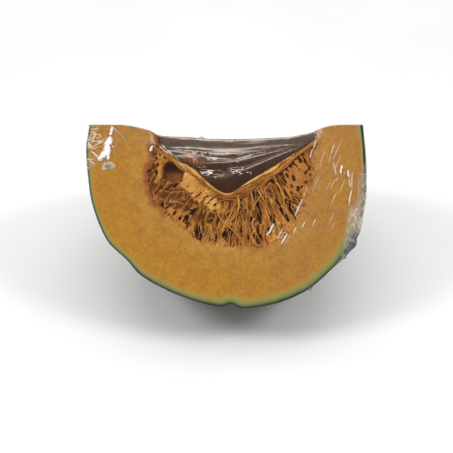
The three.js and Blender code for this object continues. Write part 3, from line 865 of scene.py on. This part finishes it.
def combed(number, side, seed):
    """Threads along the fan that wave a little, thickest half way and rooted deeper at both ends
    than between, by w, the share of the way along a thread. None stands in the seed pocket or on
    a skin."""
    random, each = np.random.default_rng(seed), (number, 1)
    w = np.linspace(0, 1, 13)[None, :]
    start = random.uniform(0.04, 0.96, each) * pulp_arc[-1]
    begin = random.uniform(0.05, 0.7, each)
    part = np.minimum(begin + random.uniform(0.2, 0.6, each) * w, 1.02)
    height = random.uniform(0.3, 1.5, each)
    wave = height * np.sin(random.uniform(2, 9, each) * w + random.uniform(0, 6, each))
    along, out = on_fan(start + random.normal(0, 3.5, each) * w + wave, part)
    sunk = random.uniform(0.1, 2.2, each) + 2.4 * (2 * w - 1) ** 6 * random.uniform(0.3, 1, each)
    thick = (0.17 + 0.58 * random.uniform(0, 1, each) ** 2) * unit(np.sin(np.pi * w) * 2.5) ** 0.5
    tone = random.normal(-0.05, 0.3, each)
    clear = np.ones(number, bool)
    if side < 0:
        for outline in (SEED_POCKET, *(places for places, *_ in SKINS)):
            clear &= (inside(along, out, outline) < 0.4).all(1)
    return along[clear], out[clear], sunk[clear], thick[clear], tone[clear]


def roots(number, side, seed):
    """Short threads that stand on the flesh at the wall and thin out into the pulp. None stands
    in the crevice at the stem end of the first face."""
    random, each = np.random.default_rng(seed), (number, 1)
    w = np.linspace(0, 1, 7)[None, :]
    start = random.uniform(0.03, 0.97, each) * pulp_arc[-1]
    far = random.uniform(1.0, 1.07, each)
    arc = start + random.normal(0, 1.2, each) * w ** 2
    along, out = on_fan(arc, far - random.uniform(0.08, 0.3, each) * w)
    sunk = 0.25 + random.uniform(0.6, 2.4, each) * w ** 1.5
    thick = random.uniform(0.2, 0.55, each) * (1 - 0.7 * w) * np.clip(w * 8, 0.15, 1)
    tone = random.normal(0.15, 0.25, each)
    clear = (side > 0) | (along[:, 0] > -33)
    return along[clear], out[clear], sunk[clear], thick[clear], tone[clear]


def rim_threads(number, seed):
    """Threads beside the hollow's rim, as long as up to two fifths of it, in four bunches."""
    random, each = np.random.default_rng(seed), (number, 1)
    w = np.linspace(0, 1, 25)[None, :]
    middle = random.choice([0.2, 0.5, 0.68, 0.8], each) + random.normal(0, 0.06, each)
    arc = (middle + (w - 0.5) * random.uniform(0.12, 0.42, each)) * pulp_arc[-1]
    part = random.uniform(0.05, 0.17, each) + 0.03 * np.sin(9 * w + random.uniform(0, 6, each))
    along, out = on_fan(arc, part + 0.25 * random.uniform(-0.4, 0.5, each) * (w - 0.5) ** 2)
    sunk = random.uniform(-0.05, 0.5, each) + 1.2 * (2 * w - 1) ** 8
    thick = random.uniform(0.16, 0.36, each) * unit(np.sin(np.pi * w) * 3) ** 0.5
    return along, out, sunk, thick, random.uniform(-0.9, 0.3, each)


# Long loose threads on the first cut face, as along and out of the places they pass
LOOSE = [
    [(-4, 40.5), (2, 38.6), (8, 39.4), (13, 42.4), (16.5, 46.5)],
    [(-6, 43), (0, 40.4), (7, 41.5), (11.5, 45.5), (12.5, 51)],
    [(24.5, 30), (21.5, 34.5), (18, 39), (15.5, 43), (14, 47)],
    [(12.5, 42.5), (9.5, 46), (5.5, 49), (3, 52.5)],
    [(-11.5, 49), (-8.6, 47), (-5.6, 48.2), (-6.4, 52), (-9, 54.6), (-11.2, 55)],
    [(-10, 51.6), (-7.6, 50.2), (-6.2, 52.6), (-7.4, 56.6)], [(0.4, 55), (1.4, 58.5), (0.8, 62.4)],
    [(-5.3, 46), (-2.2, 52), (3, 56.5), (7.5, 61), (9, 64)], [(5.5, 42.8), (9.4, 46.5), (11, 52), (10, 57)],
    [(28, 36), (31, 40), (31.5, 45), (36, 51)], [(22, 33), (26, 38), (25.5, 46), (29, 54)],
    [(-34, 35.6), (-29, 36.6), (-23, 36.2), (-17, 39.5)], [(-31.5, 42.6), (-27, 41.4), (-22, 43.5)],
]


def loose_threads(seed):
    """Smooth curves through the places of LOOSE, each lifted off the pulp between its two roots."""
    random, each = np.random.default_rng(seed), (len(LOOSE), 1)
    places = np.stack([curve(places, 21) for places in LOOSE])
    w = np.linspace(0, 1, 21)[None, :]
    sunk = random.uniform(0.0, 0.35, each) + 1.6 * (2 * w - 1) ** 6
    thick = random.uniform(0.16, 0.32, each) * unit(np.sin(np.pi * w) * 3) ** 0.5
    return places[..., 0], places[..., 1], sunk, thick, random.uniform(-0.3, 0.4, each)


for name, side, threads in (
    ("pulp_strands_first_cut", -1, combed(230, -1, seed=7)),
    ("pulp_roots_first_cut", -1, roots(210, -1, seed=12)),
    ("pulp_roots_second_cut", 1, roots(120, 1, seed=13)),
    ("pulp_rim_strands", -1, rim_threads(34, seed=9)),
    ("pulp_loose_strands", -1, loose_threads(seed=11)),
    ("pulp_strands_second_cut", 1, combed(200, 1, seed=8)),
):
    show(strands(name, *threads, side), "pulp")


# ---- Scrap on the cut ------------------------------------------------------------------------
# A half-round scrap of dry grey-beige skin, thinner than a fingernail, that stuck to the wet
# flesh near the stem end and is held there by the film.

FLECK = {"along": -62.7, "out": 24, "half_width": 3.9, "height": 4.1, "lean": 19}


def fleck_finish():
    """Dry, fibrous grey-beige skin, darker in streaks and in cloudy patches."""
    made, tree, place, output = finish("dry_scrap")
    streaks = speckle(tree, place, 700.0, 4.0, 0.7)
    clouds = speckle(tree, place, 260.0, 2.0)
    colour = ramp(tree, streaks, [(0.3, (150, 136, 116)), (0.5, (190, 176, 156)), (0.7, (216, 206, 192))])
    colour = coated(tree, colour, (span(tree, clouds, 0.5, 0.75), (140, 122, 98)))
    output(solid(tree, colour, streaks, 0.6, 0.0003, 0.7))
    return made


def half_round(steps_across=36, steps_up=14):
    """A half disc: from a straight edge up to an arch, by share of the way. Its middle bulges and
    one corner curls up. It is closed by a second, lower sheet with the same rim."""
    u = np.linspace(-1, 1, steps_across)[:, None]
    v = np.linspace(0, 1, steps_up)[None, :]
    arch = np.sqrt(unit(1 - u * u))
    x = FLECK["half_width"] * u + 0 * v
    y = -FLECK["height"] * v * arch * (1 + 0.05 * np.sin(5 * u)) + 0.25 * np.sin(3 * u)
    lean = np.radians(FLECK["lean"])
    along = FLECK["along"] + x * np.cos(lean) + y * np.sin(lean)
    out = FLECK["out"] - x * np.sin(lean) + y * np.cos(lean)
    rim = arch * unit(4 * v * (1 - v)) ** 0.5
    top = -0.05 + 0.26 * rim + 0.10 * u * (1 - v) + 0.05 * field(x * 2, y * 2, 90)
    under = top - 0.02 - 0.28 * rim
    flat = set_down(along, out, -FACE_TURN)
    upper, lower = (flat - height[..., None] * face_inwards(-1) * MM for height in (top, under))
    return np.concatenate([upper, lower[:, ::-1]], 1)


scrap = skin("dry_scrap", half_round(), [fleck_finish()], {})
show(scrap, "fleck", "grey_fleck")


# ---- Cling film ------------------------------------------------------------------------------
# One sheet of stretch film, drawn tight over both cut faces and down round the rind, where its
# two edges overlap. It spans the open hollow, creases where it is caught, and is bunched in
# pleats over the rind at the blossom end.

# Folds on the first cut face and over the hollow, each a slightly bowed ridge: along and out at both ends,
# half width, height, and how white its crest is painted, partly the crease's own milkiness and partly a
# painted highlight
FOLDS = [
    (-61.2, 0.5, -62.6, 10.5, 0.95, 0.35, 0.85), (-62.2, 6.5, -64.2, 17.0, 2.7, 0.75, 1.0),
    (-62.8, 12.5, -68.4, 19.6, 1.8, 0.55, 0.95), (-62.4, 11.6, -63.4, 19.2, 1.3, 0.35, 0.9),
    (-61.2, 0.8, -57.0, 5.0, 0.4, 0.12, 0.45), (-57.2, 4.8, -53.2, 9.0, 0.35, 0.10, 0.25),
    (-67.6, 18.6, -72.5, 14.3, 0.7, 0.3, 0.6), (-71.0, 3.4, -70.0, 5.2, 0.5, 0.22, 0.5),
    (-70.2, 5.0, -72.0, 9.4, 0.6, 0.25, 0.6), (-71.0, 11.4, -65.4, 8.6, 0.45, 0.22, 0.5),
    (-73.2, 2.6, -68.6, 1.8, 0.5, 0.2, 0.45), (-74.0, 18.4, -70.3, 21.8, 0.6, 0.2, 0.5),
    (-74.4, 9.0, -72.6, 12.0, 0.6, 0.2, 0.7), (-39.4, 8.4, -41.0, 12.8, 0.8, 0.3, 0.8),
    (-36.0, 7.2, -31.0, 12.6, 0.4, 0.25, 0.55), (-34.6, 6.0, -28.2, 14.0, 0.5, 0.25, 0.7),
    (-28.4, 13.6, -24.8, 17.6, 0.45, 0.2, 0.25), (-25.4, 18.4, -20.8, 24.4, 0.4, 0.2, 0.4),
    (25.6, 53.4, 22.9, 59.0, 0.8, 0.35, 0.75), (23.6, 57.2, 21.6, 59.8, 0.6, 0.3, 0.7),
    (30.6, 55.6, 27.4, 61.6, 0.5, 0.3, 0.55), (32.9, 58.8, 29.3, 64.4, 0.6, 0.4, 0.75),
    (37.4, 55.2, 36.0, 58.8, 0.5, 0.3, 0.5), (42.2, 52.4, 40.4, 56.0, 0.5, 0.3, 0.55),
    (47.7, 51.0, 46.2, 55.0, 0.5, 0.3, 0.5), (43.6, 33.6, 41.4, 40.0, 0.4, 0.3, 0.35),
    (41.2, 39.8, 36.8, 49.6, 0.6, 0.35, 0.55), (49.0, 5.4, 47.2, 10.4, 0.5, 0.28, 0.5),
    (46.8, 10.4, 45.2, 17.0, 0.5, 0.28, 0.5), (53.4, 13.2, 50.4, 22.4, 0.5, 0.28, 0.3),
    (58.2, 10.8, 56.4, 15.8, 0.5, 0.26, 0.6), (56.6, 16.0, 55.0, 21.0, 0.4, 0.2, 0.35),
    (62.2, 22.0, 61.4, 26.6, 0.7, 0.4, 0.95), (65.2, 24.6, 65.9, 29.0, 0.5, 0.34, 0.9),
    (65.9, 29.0, 66.2, 34.0, 0.4, 0.3, 0.5), (59.0, 27.3, 57.4, 20.4, 0.8, 0.24, 0.35),
    (60.0, 28.6, 58.6, 31.0, 0.5, 0.2, 0.3), (67.7, 26.0, 67.4, 36.0, 0.5, 0.34, 0.5),
    (67.3, 35.0, 65.6, 43.8, 0.6, 0.34, 0.6), (50.4, 27.2, 46.0, 37.0, 0.4, 0.2, 0.22),
    (-33.3, 9.6, 5.1, 13.9, 0.45, 0.2, 0.5), (5.1, 13.9, 16.0, 10.4, 0.45, 0.2, 0.5),
    (-29.5, 8.8, 12.7, 9.4, 0.3, 0.1, 0.6), (-11.7, 17.9, 31.7, 8.8, 0.4, 0.2, 0.45),
    (3.5, 24.6, 37.1, 8.3, 0.4, 0.2, 0.4), (-23.6, 12.2, -15.4, 16.1, 0.35, 0.12, 0.4),
    (-14, 10.6, -4.8, 15.5, 0.35, 0.12, 0.45), (5.7, 16.1, 15.5, 10.3, 0.4, 0.15, 0.5),
    (-9.5, 10.6, 1.1, 10.4, 0.35, 0.1, 0.5), (18, 7.2, 34, 5.0, 0.4, 0.1, 0.4),
]
STEM_FOLDS = 18  # of these, caught at the stem end of the first face alone
# Where the film stands off the flesh in fine crinkles: along, out, half length, half width, lean
# in degrees, how much
CRINKLES = [
    (-71, 9, 10, 4.5, 0, 0.8), (-73, 22, 8, 2.5, 4, 0.6), (58, 24, 6, 4, 0, 0.25), (70, 30, 14, 3, 0, 0.5),
]
# Spots with fine creases in the film over the hollow, painted bright, partly as glints: along, out, half
# length, half width, lean in degrees, how many
SCRIBBLES = [
    (-10, 23.5, 9, 3.2, 82, 0.9), (8, 22.5, 7, 3.2, 76, 1.0), (4, 15.5, 6, 1.2, 80, 0.8),
    (-8, 14, 6, 1.2, 95, 0.8), (-2, 10, 14, 1.3, 90, 0.6), (-20, 10.5, 7, 1.3, 85, 0.6),
    (12, 9.0, 12, 1.2, 84, 0.5), (-4, 27, 6, 1.5, 80, 0.5),
]
# Pleats that fan out over the hollow from the blossom end: slope in degrees, half width in degrees, height,
# milk (partly a painted reflection)
PLEATS = [
    (3, 2.2, 0.25, 0.34), (8, 1.8, -0.10, 0.03), (13, 1.8, 0.35, 0.24), (17.5, 1.8, -0.15, 0.0),
    (25.5, 3.6, 0.4, 0.22), (30, 2.5, -0.1, 0.0),
]
PLEAT_FROM = (46.0, 5.2)
# Outline of the bunch folded over the edge of the cut near the blossom end
LAP = [
    (78, 20), (73.2, 22), (71.7, 27), (71.0, 34), (70.8, 40), (67.6, 44.2), (65.4, 48), (64.4, 54),
    (63.6, 60), (62.6, 66), (60.9, 71), (63.9, 77), (70, 72), (76, 62), (79, 50), (80, 40),
]
# Where the sheet stands off the rim of a cut, in loose bits and in the bunch: along, out, how far,
# over what length
FLAPS = [(-73.8, 3.5, 1.6, 0.9), (44.2, 87.6, 1.5, 0.9), (61.8, 70.8, 1.6, 1.6), (66.2, 64.0, 2.6, 4.6)]
# A nub of film that is caught at the top of the second face: along, out, half length, half width,
# height
NUB = (-13.3, 2.4, 1.5, 1.8, 1.2)
OFF_FACE, OFF_RIND, OFF_TABLE = 0.34, 0.25, 0.05  # how far the film lies off what it touches
PULLED_FLAT = {-1: 1.5, 1: 12}  # how far out from the axis the folds grow to their height, by face
RIM_SHARE = 0.985  # of the way out, where the film starts to turn over the rim of a cut
FILM_LINES = 500
film_rind = curve(RIND, FILM_LINES)
film_axis = np.linspace(RIND[0][0], RIND[-1][0], FILM_LINES)
film_out = outwards(film_rind)


def ridge(along, out, fold):
    """A fold along a slightly bowed line, from 0 at its foot to 1 at its crest: a tent with a
    soft top, that dies away at both ends. Also how far across the line a place is, the part that
    its ends leave, and a slimmer taper like a spindle's."""
    a0, o0, a1, o1, wide = fold[:5]
    run = np.hypot(a1 - a0, o1 - o0)
    c, s = (a1 - a0) / run, (o1 - o0) / run
    length = ((along - a0) * c + (out - o0) * s) / run
    bow = 0.02 * run * np.sin(np.pi * unit(length))
    across = -(along - a0) * s + (out - o0) * c - bow
    ends = unit(np.minimum(length, 1 - length) * 5 + 0.5)
    ends = ends * ends * (3 - 2 * ends)
    tent = 1.08 - np.sqrt((across / wide) ** 2 + 0.0064)
    slim = np.sqrt(unit(4 * length * (1 - length)))
    return unit(tent) * ends, across, ends, slim


def folded(along, out, folds):
    """Height of the highest fold at each place, how far off the nearest one's crest it is, in half widths
    that slim towards the fold's ends, and how white that crest is painted, partly as a highlight."""
    height, painted_crest_highlight = np.zeros_like(along), np.zeros_like(along)
    off_crest = np.full_like(along, 9.0)
    for fold in folds:
        wide, high, white = fold[4:]
        rise, across, ends, slim = ridge(along, out, fold)
        height = np.maximum(height, high * rise)
        nearer = (np.abs(across) < np.abs(off_crest) * wide) & (ends > 0) & (np.abs(across) < wide + 1.3)
        off_crest = np.where(nearer, across / wide / (0.2 + 0.8 * slim), off_crest)
        painted_crest_highlight = np.where(nearer, white * ends, painted_crest_highlight)
    return height, off_crest, painted_crest_highlight


def spanned(along, out):
    """The film over the open hollow: how much a place is over it, height, and milk, which is partly the
    film's own and partly a painted reflection. Pleats fan out from the blossom end, each a bell across its
    slope, hatched, and fainter the further it runs. Level lines cross them in the upper half, and there is a
    little milk along the axis, painted there as a reflection."""
    hollow = np.interp(along, *zip(*HOLLOW), left=0, right=0)
    over = unit((hollow + 1 - out) / 3) * unit((along + 37) / 3)
    x, y = PLEAT_FROM[0] - along, out - PLEAT_FROM[1]
    from_end = np.hypot(x, y)
    slope = np.degrees(np.arctan2(y, x)) + 1.2 * field(from_end / 16, 0 * out, 102)
    fade = np.clip(1.2 - from_end / 64, 0.06, 1) * unit(from_end / 12)
    hatched = 0.55 + 0.9 * np.clip(field(slope * 0.9, from_end / 5 + slope / 3, 106), -0.4, 1)
    height, milk = np.zeros_like(along), 0.10 * np.exp(-out / 8)
    for middle, half, rise, white in PLEATS:
        off = (slope - middle) / half
        crest = np.exp(-np.where(off > 0, 3 * off, off) ** 2)
        height += rise * crest * np.clip(from_end / 60, 0.2, 1)
        milk += white * crest * fade * hatched
    level = field(along / 22 + 3, out / 1.15 + along / 40, 103)
    upper = unit((18 - out) / 9)
    height += 0.2 * upper * level
    milk += 0.55 * upper * unit(level * 3.4 - 0.7) * unit((24 - along) / 22)
    return over, over * height, over * np.clip(milk, 0, 0.6)


def bunched(along, out):
    """The bunch over the edge of the first cut, within the outline LAP with an uneven edge: how
    much of it a place is, height, milk, and how dusky it is. Sharp creases run out along it, it
    thins to a clearer strip towards the axis, and it is thickest and duskiest at its outer end."""
    lap = inside(along, out, LAP) + 0.5 * field(along / 2, out / 2, 109)
    lapped = unit(lap / 1.4 + 0.5)
    wander = field(along / 1.1 + out / 5, out / 4, 107) + 0.5 * field(along / 0.6, out / 2.2, 108)
    creased = unit(1 - np.abs(wander))
    strip = unit((46 - out) / 5)
    outer = unit(0.7 * (along - 71.3) + 0.42 * (out - 55) + 0.5) * (1 - strip)
    height = unit(lap / 3 + 0.3) * (0.5 + 0.7 * creased ** 2) * (1 - 0.5 * strip)
    milk = lapped * (0.36 + 0.26 * creased ** 3 + 0.46 * outer) * np.clip((out - 20) / 14, 0.25, 1)
    tone = 0.42 + 0.3 * unit((out - 54) / 8) + 0.25 * strip + 1.2 * outer
    return lapped, height, milk, lapped * unit(tone - 0.55 * creased ** 3)


def face_folds(along, out, side):
    """Height of the film over a cut face, and its looks: how milky it is, partly as a painted reflection, how
    crinkled and scribbled with fine creases painted bright it is, how far off the nearest fold's crest and
    how white that is painted, how much it carries white dashes of painted streak glints, and how dusky. It
    lies close on the flesh with folds, long slight drag lines and crinkles, spans the hollow, is bunched at
    the edge of the first face, and is pulled flat at the axis."""
    mirrored = [(-0.9 * a, o, -0.9 * b, p, w, h, g) for a, o, b, p, w, h, g in FOLDS[STEM_FOLDS:]]
    height, off_crest, painted_crest_highlight = folded(along, out, FOLDS if side < 0 else mirrored)
    height += 0.07 * unit(field(along / 2.6 + out / 9, out / 26, 100 + side)) ** 2
    over, rise, milk_and_painted_reflection = spanned(along, out)
    height += rise

    crinkled = 0.05 * over
    for reach, amount in ovals(along, out, CRINKLES):
        crinkled = np.maximum(crinkled, unit((1.2 - reach) * 2) * amount)
    scribble = 0.8 * unit(crinkled * 1.4 - 0.3) * (along < 0)
    for reach, amount in ovals(along, out, SCRIBBLES):
        scribble = np.maximum(scribble, over * unit((1.1 - reach) * 2.5) * amount)
    painted_streak_glints = dusky = np.zeros_like(along)
    if side < 0:
        lapped, bulge, milk, dusky = bunched(along, out)
        height += bulge
        milk_and_painted_reflection = np.maximum(milk_and_painted_reflection, milk)
        crinkled = np.maximum(crinkled, 0.9 * lapped)
        scribble = np.maximum(scribble, 0.5 * lapped)
        # Painted streak glints: white dashes across the right of the first face.
        painted_streak_glints = 0.4 * bell((along - 57) / 11) * unit((out - 1) / 6) * unit((66 - out) / 20)
    crumple = field(along / 2.4, out / 2.4, 104) + 0.5 * field(along / 1.2, out / 1.2, 105)
    height += 0.05 * crinkled * (1 + crumple)
    height *= unit(out / PULLED_FLAT[side])
    if side > 0:
        nub = np.exp(-((along - NUB[0]) / NUB[2]) ** 2 - ((out - NUB[1]) / NUB[3]) ** 2)
        height += NUB[4] * nub
        milk_and_painted_reflection = np.maximum(milk_and_painted_reflection, 0.6 * nub)
        dusky = 0.6 * nub
    return height, milk_and_painted_reflection, crinkled, scribble, off_crest, painted_crest_highlight, painted_streak_glints, dusky


def rind_folds(along, out, turns):
    """Height of the film over the rind and its looks, as over a cut face: pleats that gather
    towards both ends, most of all at the blossom end by the first cut face, with the bunch that
    is folded over the edge of the cut there, and finer ones between. None at the poles."""
    blossom = unit((along - 48) / 22) ** 2
    stem = unit((-along - 52) / 22) ** 2
    near_first = bell((turns + FACE_TURN) / 0.55)
    waver = 2.5 * field(along / 16, turns * 3, 110)
    pleat = 1 - np.abs(np.sin(22 * turns + waver))
    small = 1 - np.abs(field(turns * 30 + waver, along / 14, 111))
    height = (0.35 * stem + 0.4 * blossom + 0.2 * blossom * near_first) * pleat ** 2
    height += (0.12 + 0.3 * blossom) * small ** 3
    bunch = np.exp(-((along - 66.2) / 6) ** 2 - ((turns + FACE_TURN) / 0.07) ** 2)
    height += bunch * (2.2 + 0.8 * field(along / 2.2, turns * 30, 112))
    height *= unit(out / 20)
    dusky = np.sqrt(bunch)
    # Milk over the rind, thickest in the bunch; on the high pleats it is partly a painted highlight.
    milk_and_painted_reflection = 0.004 + 0.22 * unit(height / 0.9 - 0.25) ** 1.5 + 0.04 * blossom * near_first + 0.75 * dusky
    crinkled = unit(0.06 + 0.6 * blossom + 0.4 * stem)
    none = 0 * height
    return height, milk_and_painted_reflection, crinkled, 0.06 * blossom, none + 9, none, none, dusky


FILM_LOOKS = ("milk_and_painted_reflection", "crinkle", "scribble", "off_crest", "painted_crest_highlight", "painted_streak_glints", "dusky")


def film_finish():
    """Clear film with a hard shine, that mirrors more the flatter it is looked along. Creased stretches carry
    fine crinkles and turn milky, partly as painted reflection. Thin bright lines mark where a crease is
    sharp, and are partly painted glints. Broken white dashes are painted streak glints, and white crests on
    the folds are partly painted highlights."""
    made, tree, place, output = finish("cling_film")
    milk_and_painted_reflection, crinkle, scribble, off_crest, painted_crest_highlight, painted_streak_glints, dusky = (
        feature(tree, name) for name in FILM_LOOKS)
    wide, long = (
        node(tree, "Mapping", {"Vector": place, "Scale": (along, 1.0, 1.0)}).outputs[0]
        for along in (0.62, 0.34))
    folds = speckle(tree, wide, 230.0, 2.5, 0.55)
    sway = node(tree, "TexNoise", {"Vector": place, "Scale": 260.0, "Detail": 1.0}).outputs["Color"]
    bent = node(tree, "VectorMath", {0: sway, 1: (0.003, 0.0012, 0.0012)}, operation="MULTIPLY").outputs[0]
    bent = node(tree, "VectorMath", {0: long, 1: bent}, operation="ADD").outputs[0]
    sockets = {"Vector": bent, "Scale": 520.0}
    net_of_creases = node(tree, "TexVoronoi", sockets, feature="DISTANCE_TO_EDGE").outputs["Distance"]
    over, down = (
        node(tree, "VectorMath", {0: place, 1: way}, operation="DOT_PRODUCT").outputs["Value"]
        for way in ((1000.0, -640.0, 0.0), (-30.0, -95.0, 0.0)))
    dashes = speckle(tree, node(tree, "CombineXYZ", {0: over, 1: down}).outputs[0], 0.8, 1.0)
    sharp = maths(tree, "ABSOLUTE", maths(tree, "SUBTRACT", folds, 0.5))
    amount = maths(tree, "ADD", times(tree, crinkle, 0.6), 0.03)
    bump = node(tree, "Bump", {"Height": sharp, "Strength": amount, "Distance": 0.004}).outputs[0]
    shine = node(tree, "BsdfGlossy", {"Color": (1, 1, 1, 1), "Roughness": 0.08, "Normal": bump}).outputs[0]
    facing = node(tree, "LayerWeight", {"Blend": 0.5, "Normal": bump}).outputs["Facing"]
    edge_on = maths(tree, "POWER", facing, 5.0)
    tint = mix(tree, edge_on, (0.99, 0.99, 0.99, 1), srgb(74, 76, 66))
    clear = node(tree, "BsdfTransparent", {"Color": tint}).outputs[0]
    mirrored = maths(tree, "ADD", times(tree, maths(tree, "POWER", facing, 4.0), 0.4), 0.036)
    film = node(tree, "MixShader", {0: mirrored, 1: clear, 2: shine}).outputs[0]
    # Thin white lines along sharp creases: partly the creases' own whitening, partly painted glints.
    broken = times(tree, scribble, span(tree, folds, 0.42, 0.56))
    lines = times(tree, broken, span(tree, net_of_creases, 0.085, 0.03))
    # White dashes painted as streak glints.
    dashed = times(tree, painted_streak_glints, span(tree, dashes, 0.64, 0.72))
    uneven = times(tree, maths(tree, "SUBTRACT", speckle(tree, place, 620.0, 2.0), 0.5), 1.5)
    off = maths(tree, "ADD", maths(tree, "ABSOLUTE", off_crest), uneven)
    # Crests of the folds painted white: partly the crease's own milkiness, partly a painted highlight.
    crest = times(tree, painted_crest_highlight, span(tree, off, 1.05, 0.3))
    milk_colour = coated(tree, srgb(241, 224, 205), (dusky, (82, 88, 92)), (crest, (250, 247, 244)))
    milk = node(tree, "BsdfDiffuse", {"Color": milk_colour}).outputs[0]
    # All this white is diffuse milk: the film's own milkiness together with painted reflections, glints and
    # highlights.
    cloudy = milk_and_painted_reflection
    for white in (lines, crest, dashed):
        cloudy = maths(tree, "MAXIMUM", cloudy, white)
    output(node(tree, "MixShader", {0: cloudy, 1: film, 2: milk}).outputs[0])
    return made


def film_face(side, steps):
    """The film over one cut face, from the axis out to the rind, with its points packed towards
    the axis: points and looks. Its last stretch is pushed out over the rim of the cut, further in
    the loose bits of FLAPS."""
    turn = side * FACE_TURN
    rim = film_rind.copy()
    rim[:, 1] += rib_relief(rim[:, 0], rim[:, 1], turn)
    part = np.linspace(0, 1, steps)[None, :] ** 1.25
    along = blend(film_axis[:, None], rim[:, :1], part)
    out = rim[:, 1:] * part
    height, *looks = face_folds(along, out, side)
    points = set_down(along, out, turn) - (OFF_FACE + height)[..., None] * face_inwards(side) * MM
    points[:, 0, 2] += OFF_FACE * (np.sqrt(2) - 1) * MM  # where both faces meet it lies on both
    over_rim = unit((part - RIM_SHARE) / (1 - RIM_SHARE))[..., None]
    sideways = np.stack([film_out[:, 0], film_out[:, 1] * np.sin(turn), -film_out[:, 1] * np.cos(turn)], -1)
    push = OFF_RIND + sum(
        far * np.exp(-((along - at) ** 2 + (out - off) ** 2) / length ** 2) for at, off, far, length in FLAPS)
    points += over_rim * sideways[:, None] * push[..., None] * MM
    return points, *looks


def film_round(turns, raised):
    """The film over the rind through the given turns, lifted where it lies on another layer:
    points and looks."""
    along, out, turns, raised = np.broadcast_arrays(film_rind[:, :1], film_rind[:, 1:], turns, raised)
    height, *looks = rind_folds(along, out, turns)
    lift = OFF_RIND + height + raised
    reach = np.maximum(out + rib_relief(along, out, turns) + lift * film_out[:, 1:], 0)
    return set_down(along + lift * film_out[:, :1], reach, turns), *looks


# The sheet starts under its own far edge, runs up the rind to the second cut face, over both
# faces, and round the rind again to where it overlaps
LAP_START, LAP_END = np.radians(14), np.radians(33)
LAP_LIFT, LIFT_TURN = 0.35, 0.12  # how far the upper layer is lifted, and the turn that it takes
inner_turns = np.linspace(LAP_START, FACE_TURN, 12)[None, :-1]
outer_turns = np.linspace(-FACE_TURN, LAP_END, 36)[None, 1:]
raised = LAP_LIFT * unit((outer_turns - LAP_START + LIFT_TURN) / LIFT_TURN)
parts = [
    film_round(inner_turns, 0.0),
    [values[:, ::-1] for values in film_face(1, steps=40)],
    [values[:, 1:] for values in film_face(-1, steps=112)],
    film_round(outer_turns, raised),
]
film_rows, *film_looks = (np.concatenate(values, 1) for values in zip(*parts))
film_rows[..., 2] = np.maximum(film_rows[..., 2], OFF_TABLE * MM)
looks = dict(zip(FILM_LOOKS, film_looks))
film = show(skin("film_sheet", film_rows, [film_finish()], looks, closed=False), "film", "cling_film")
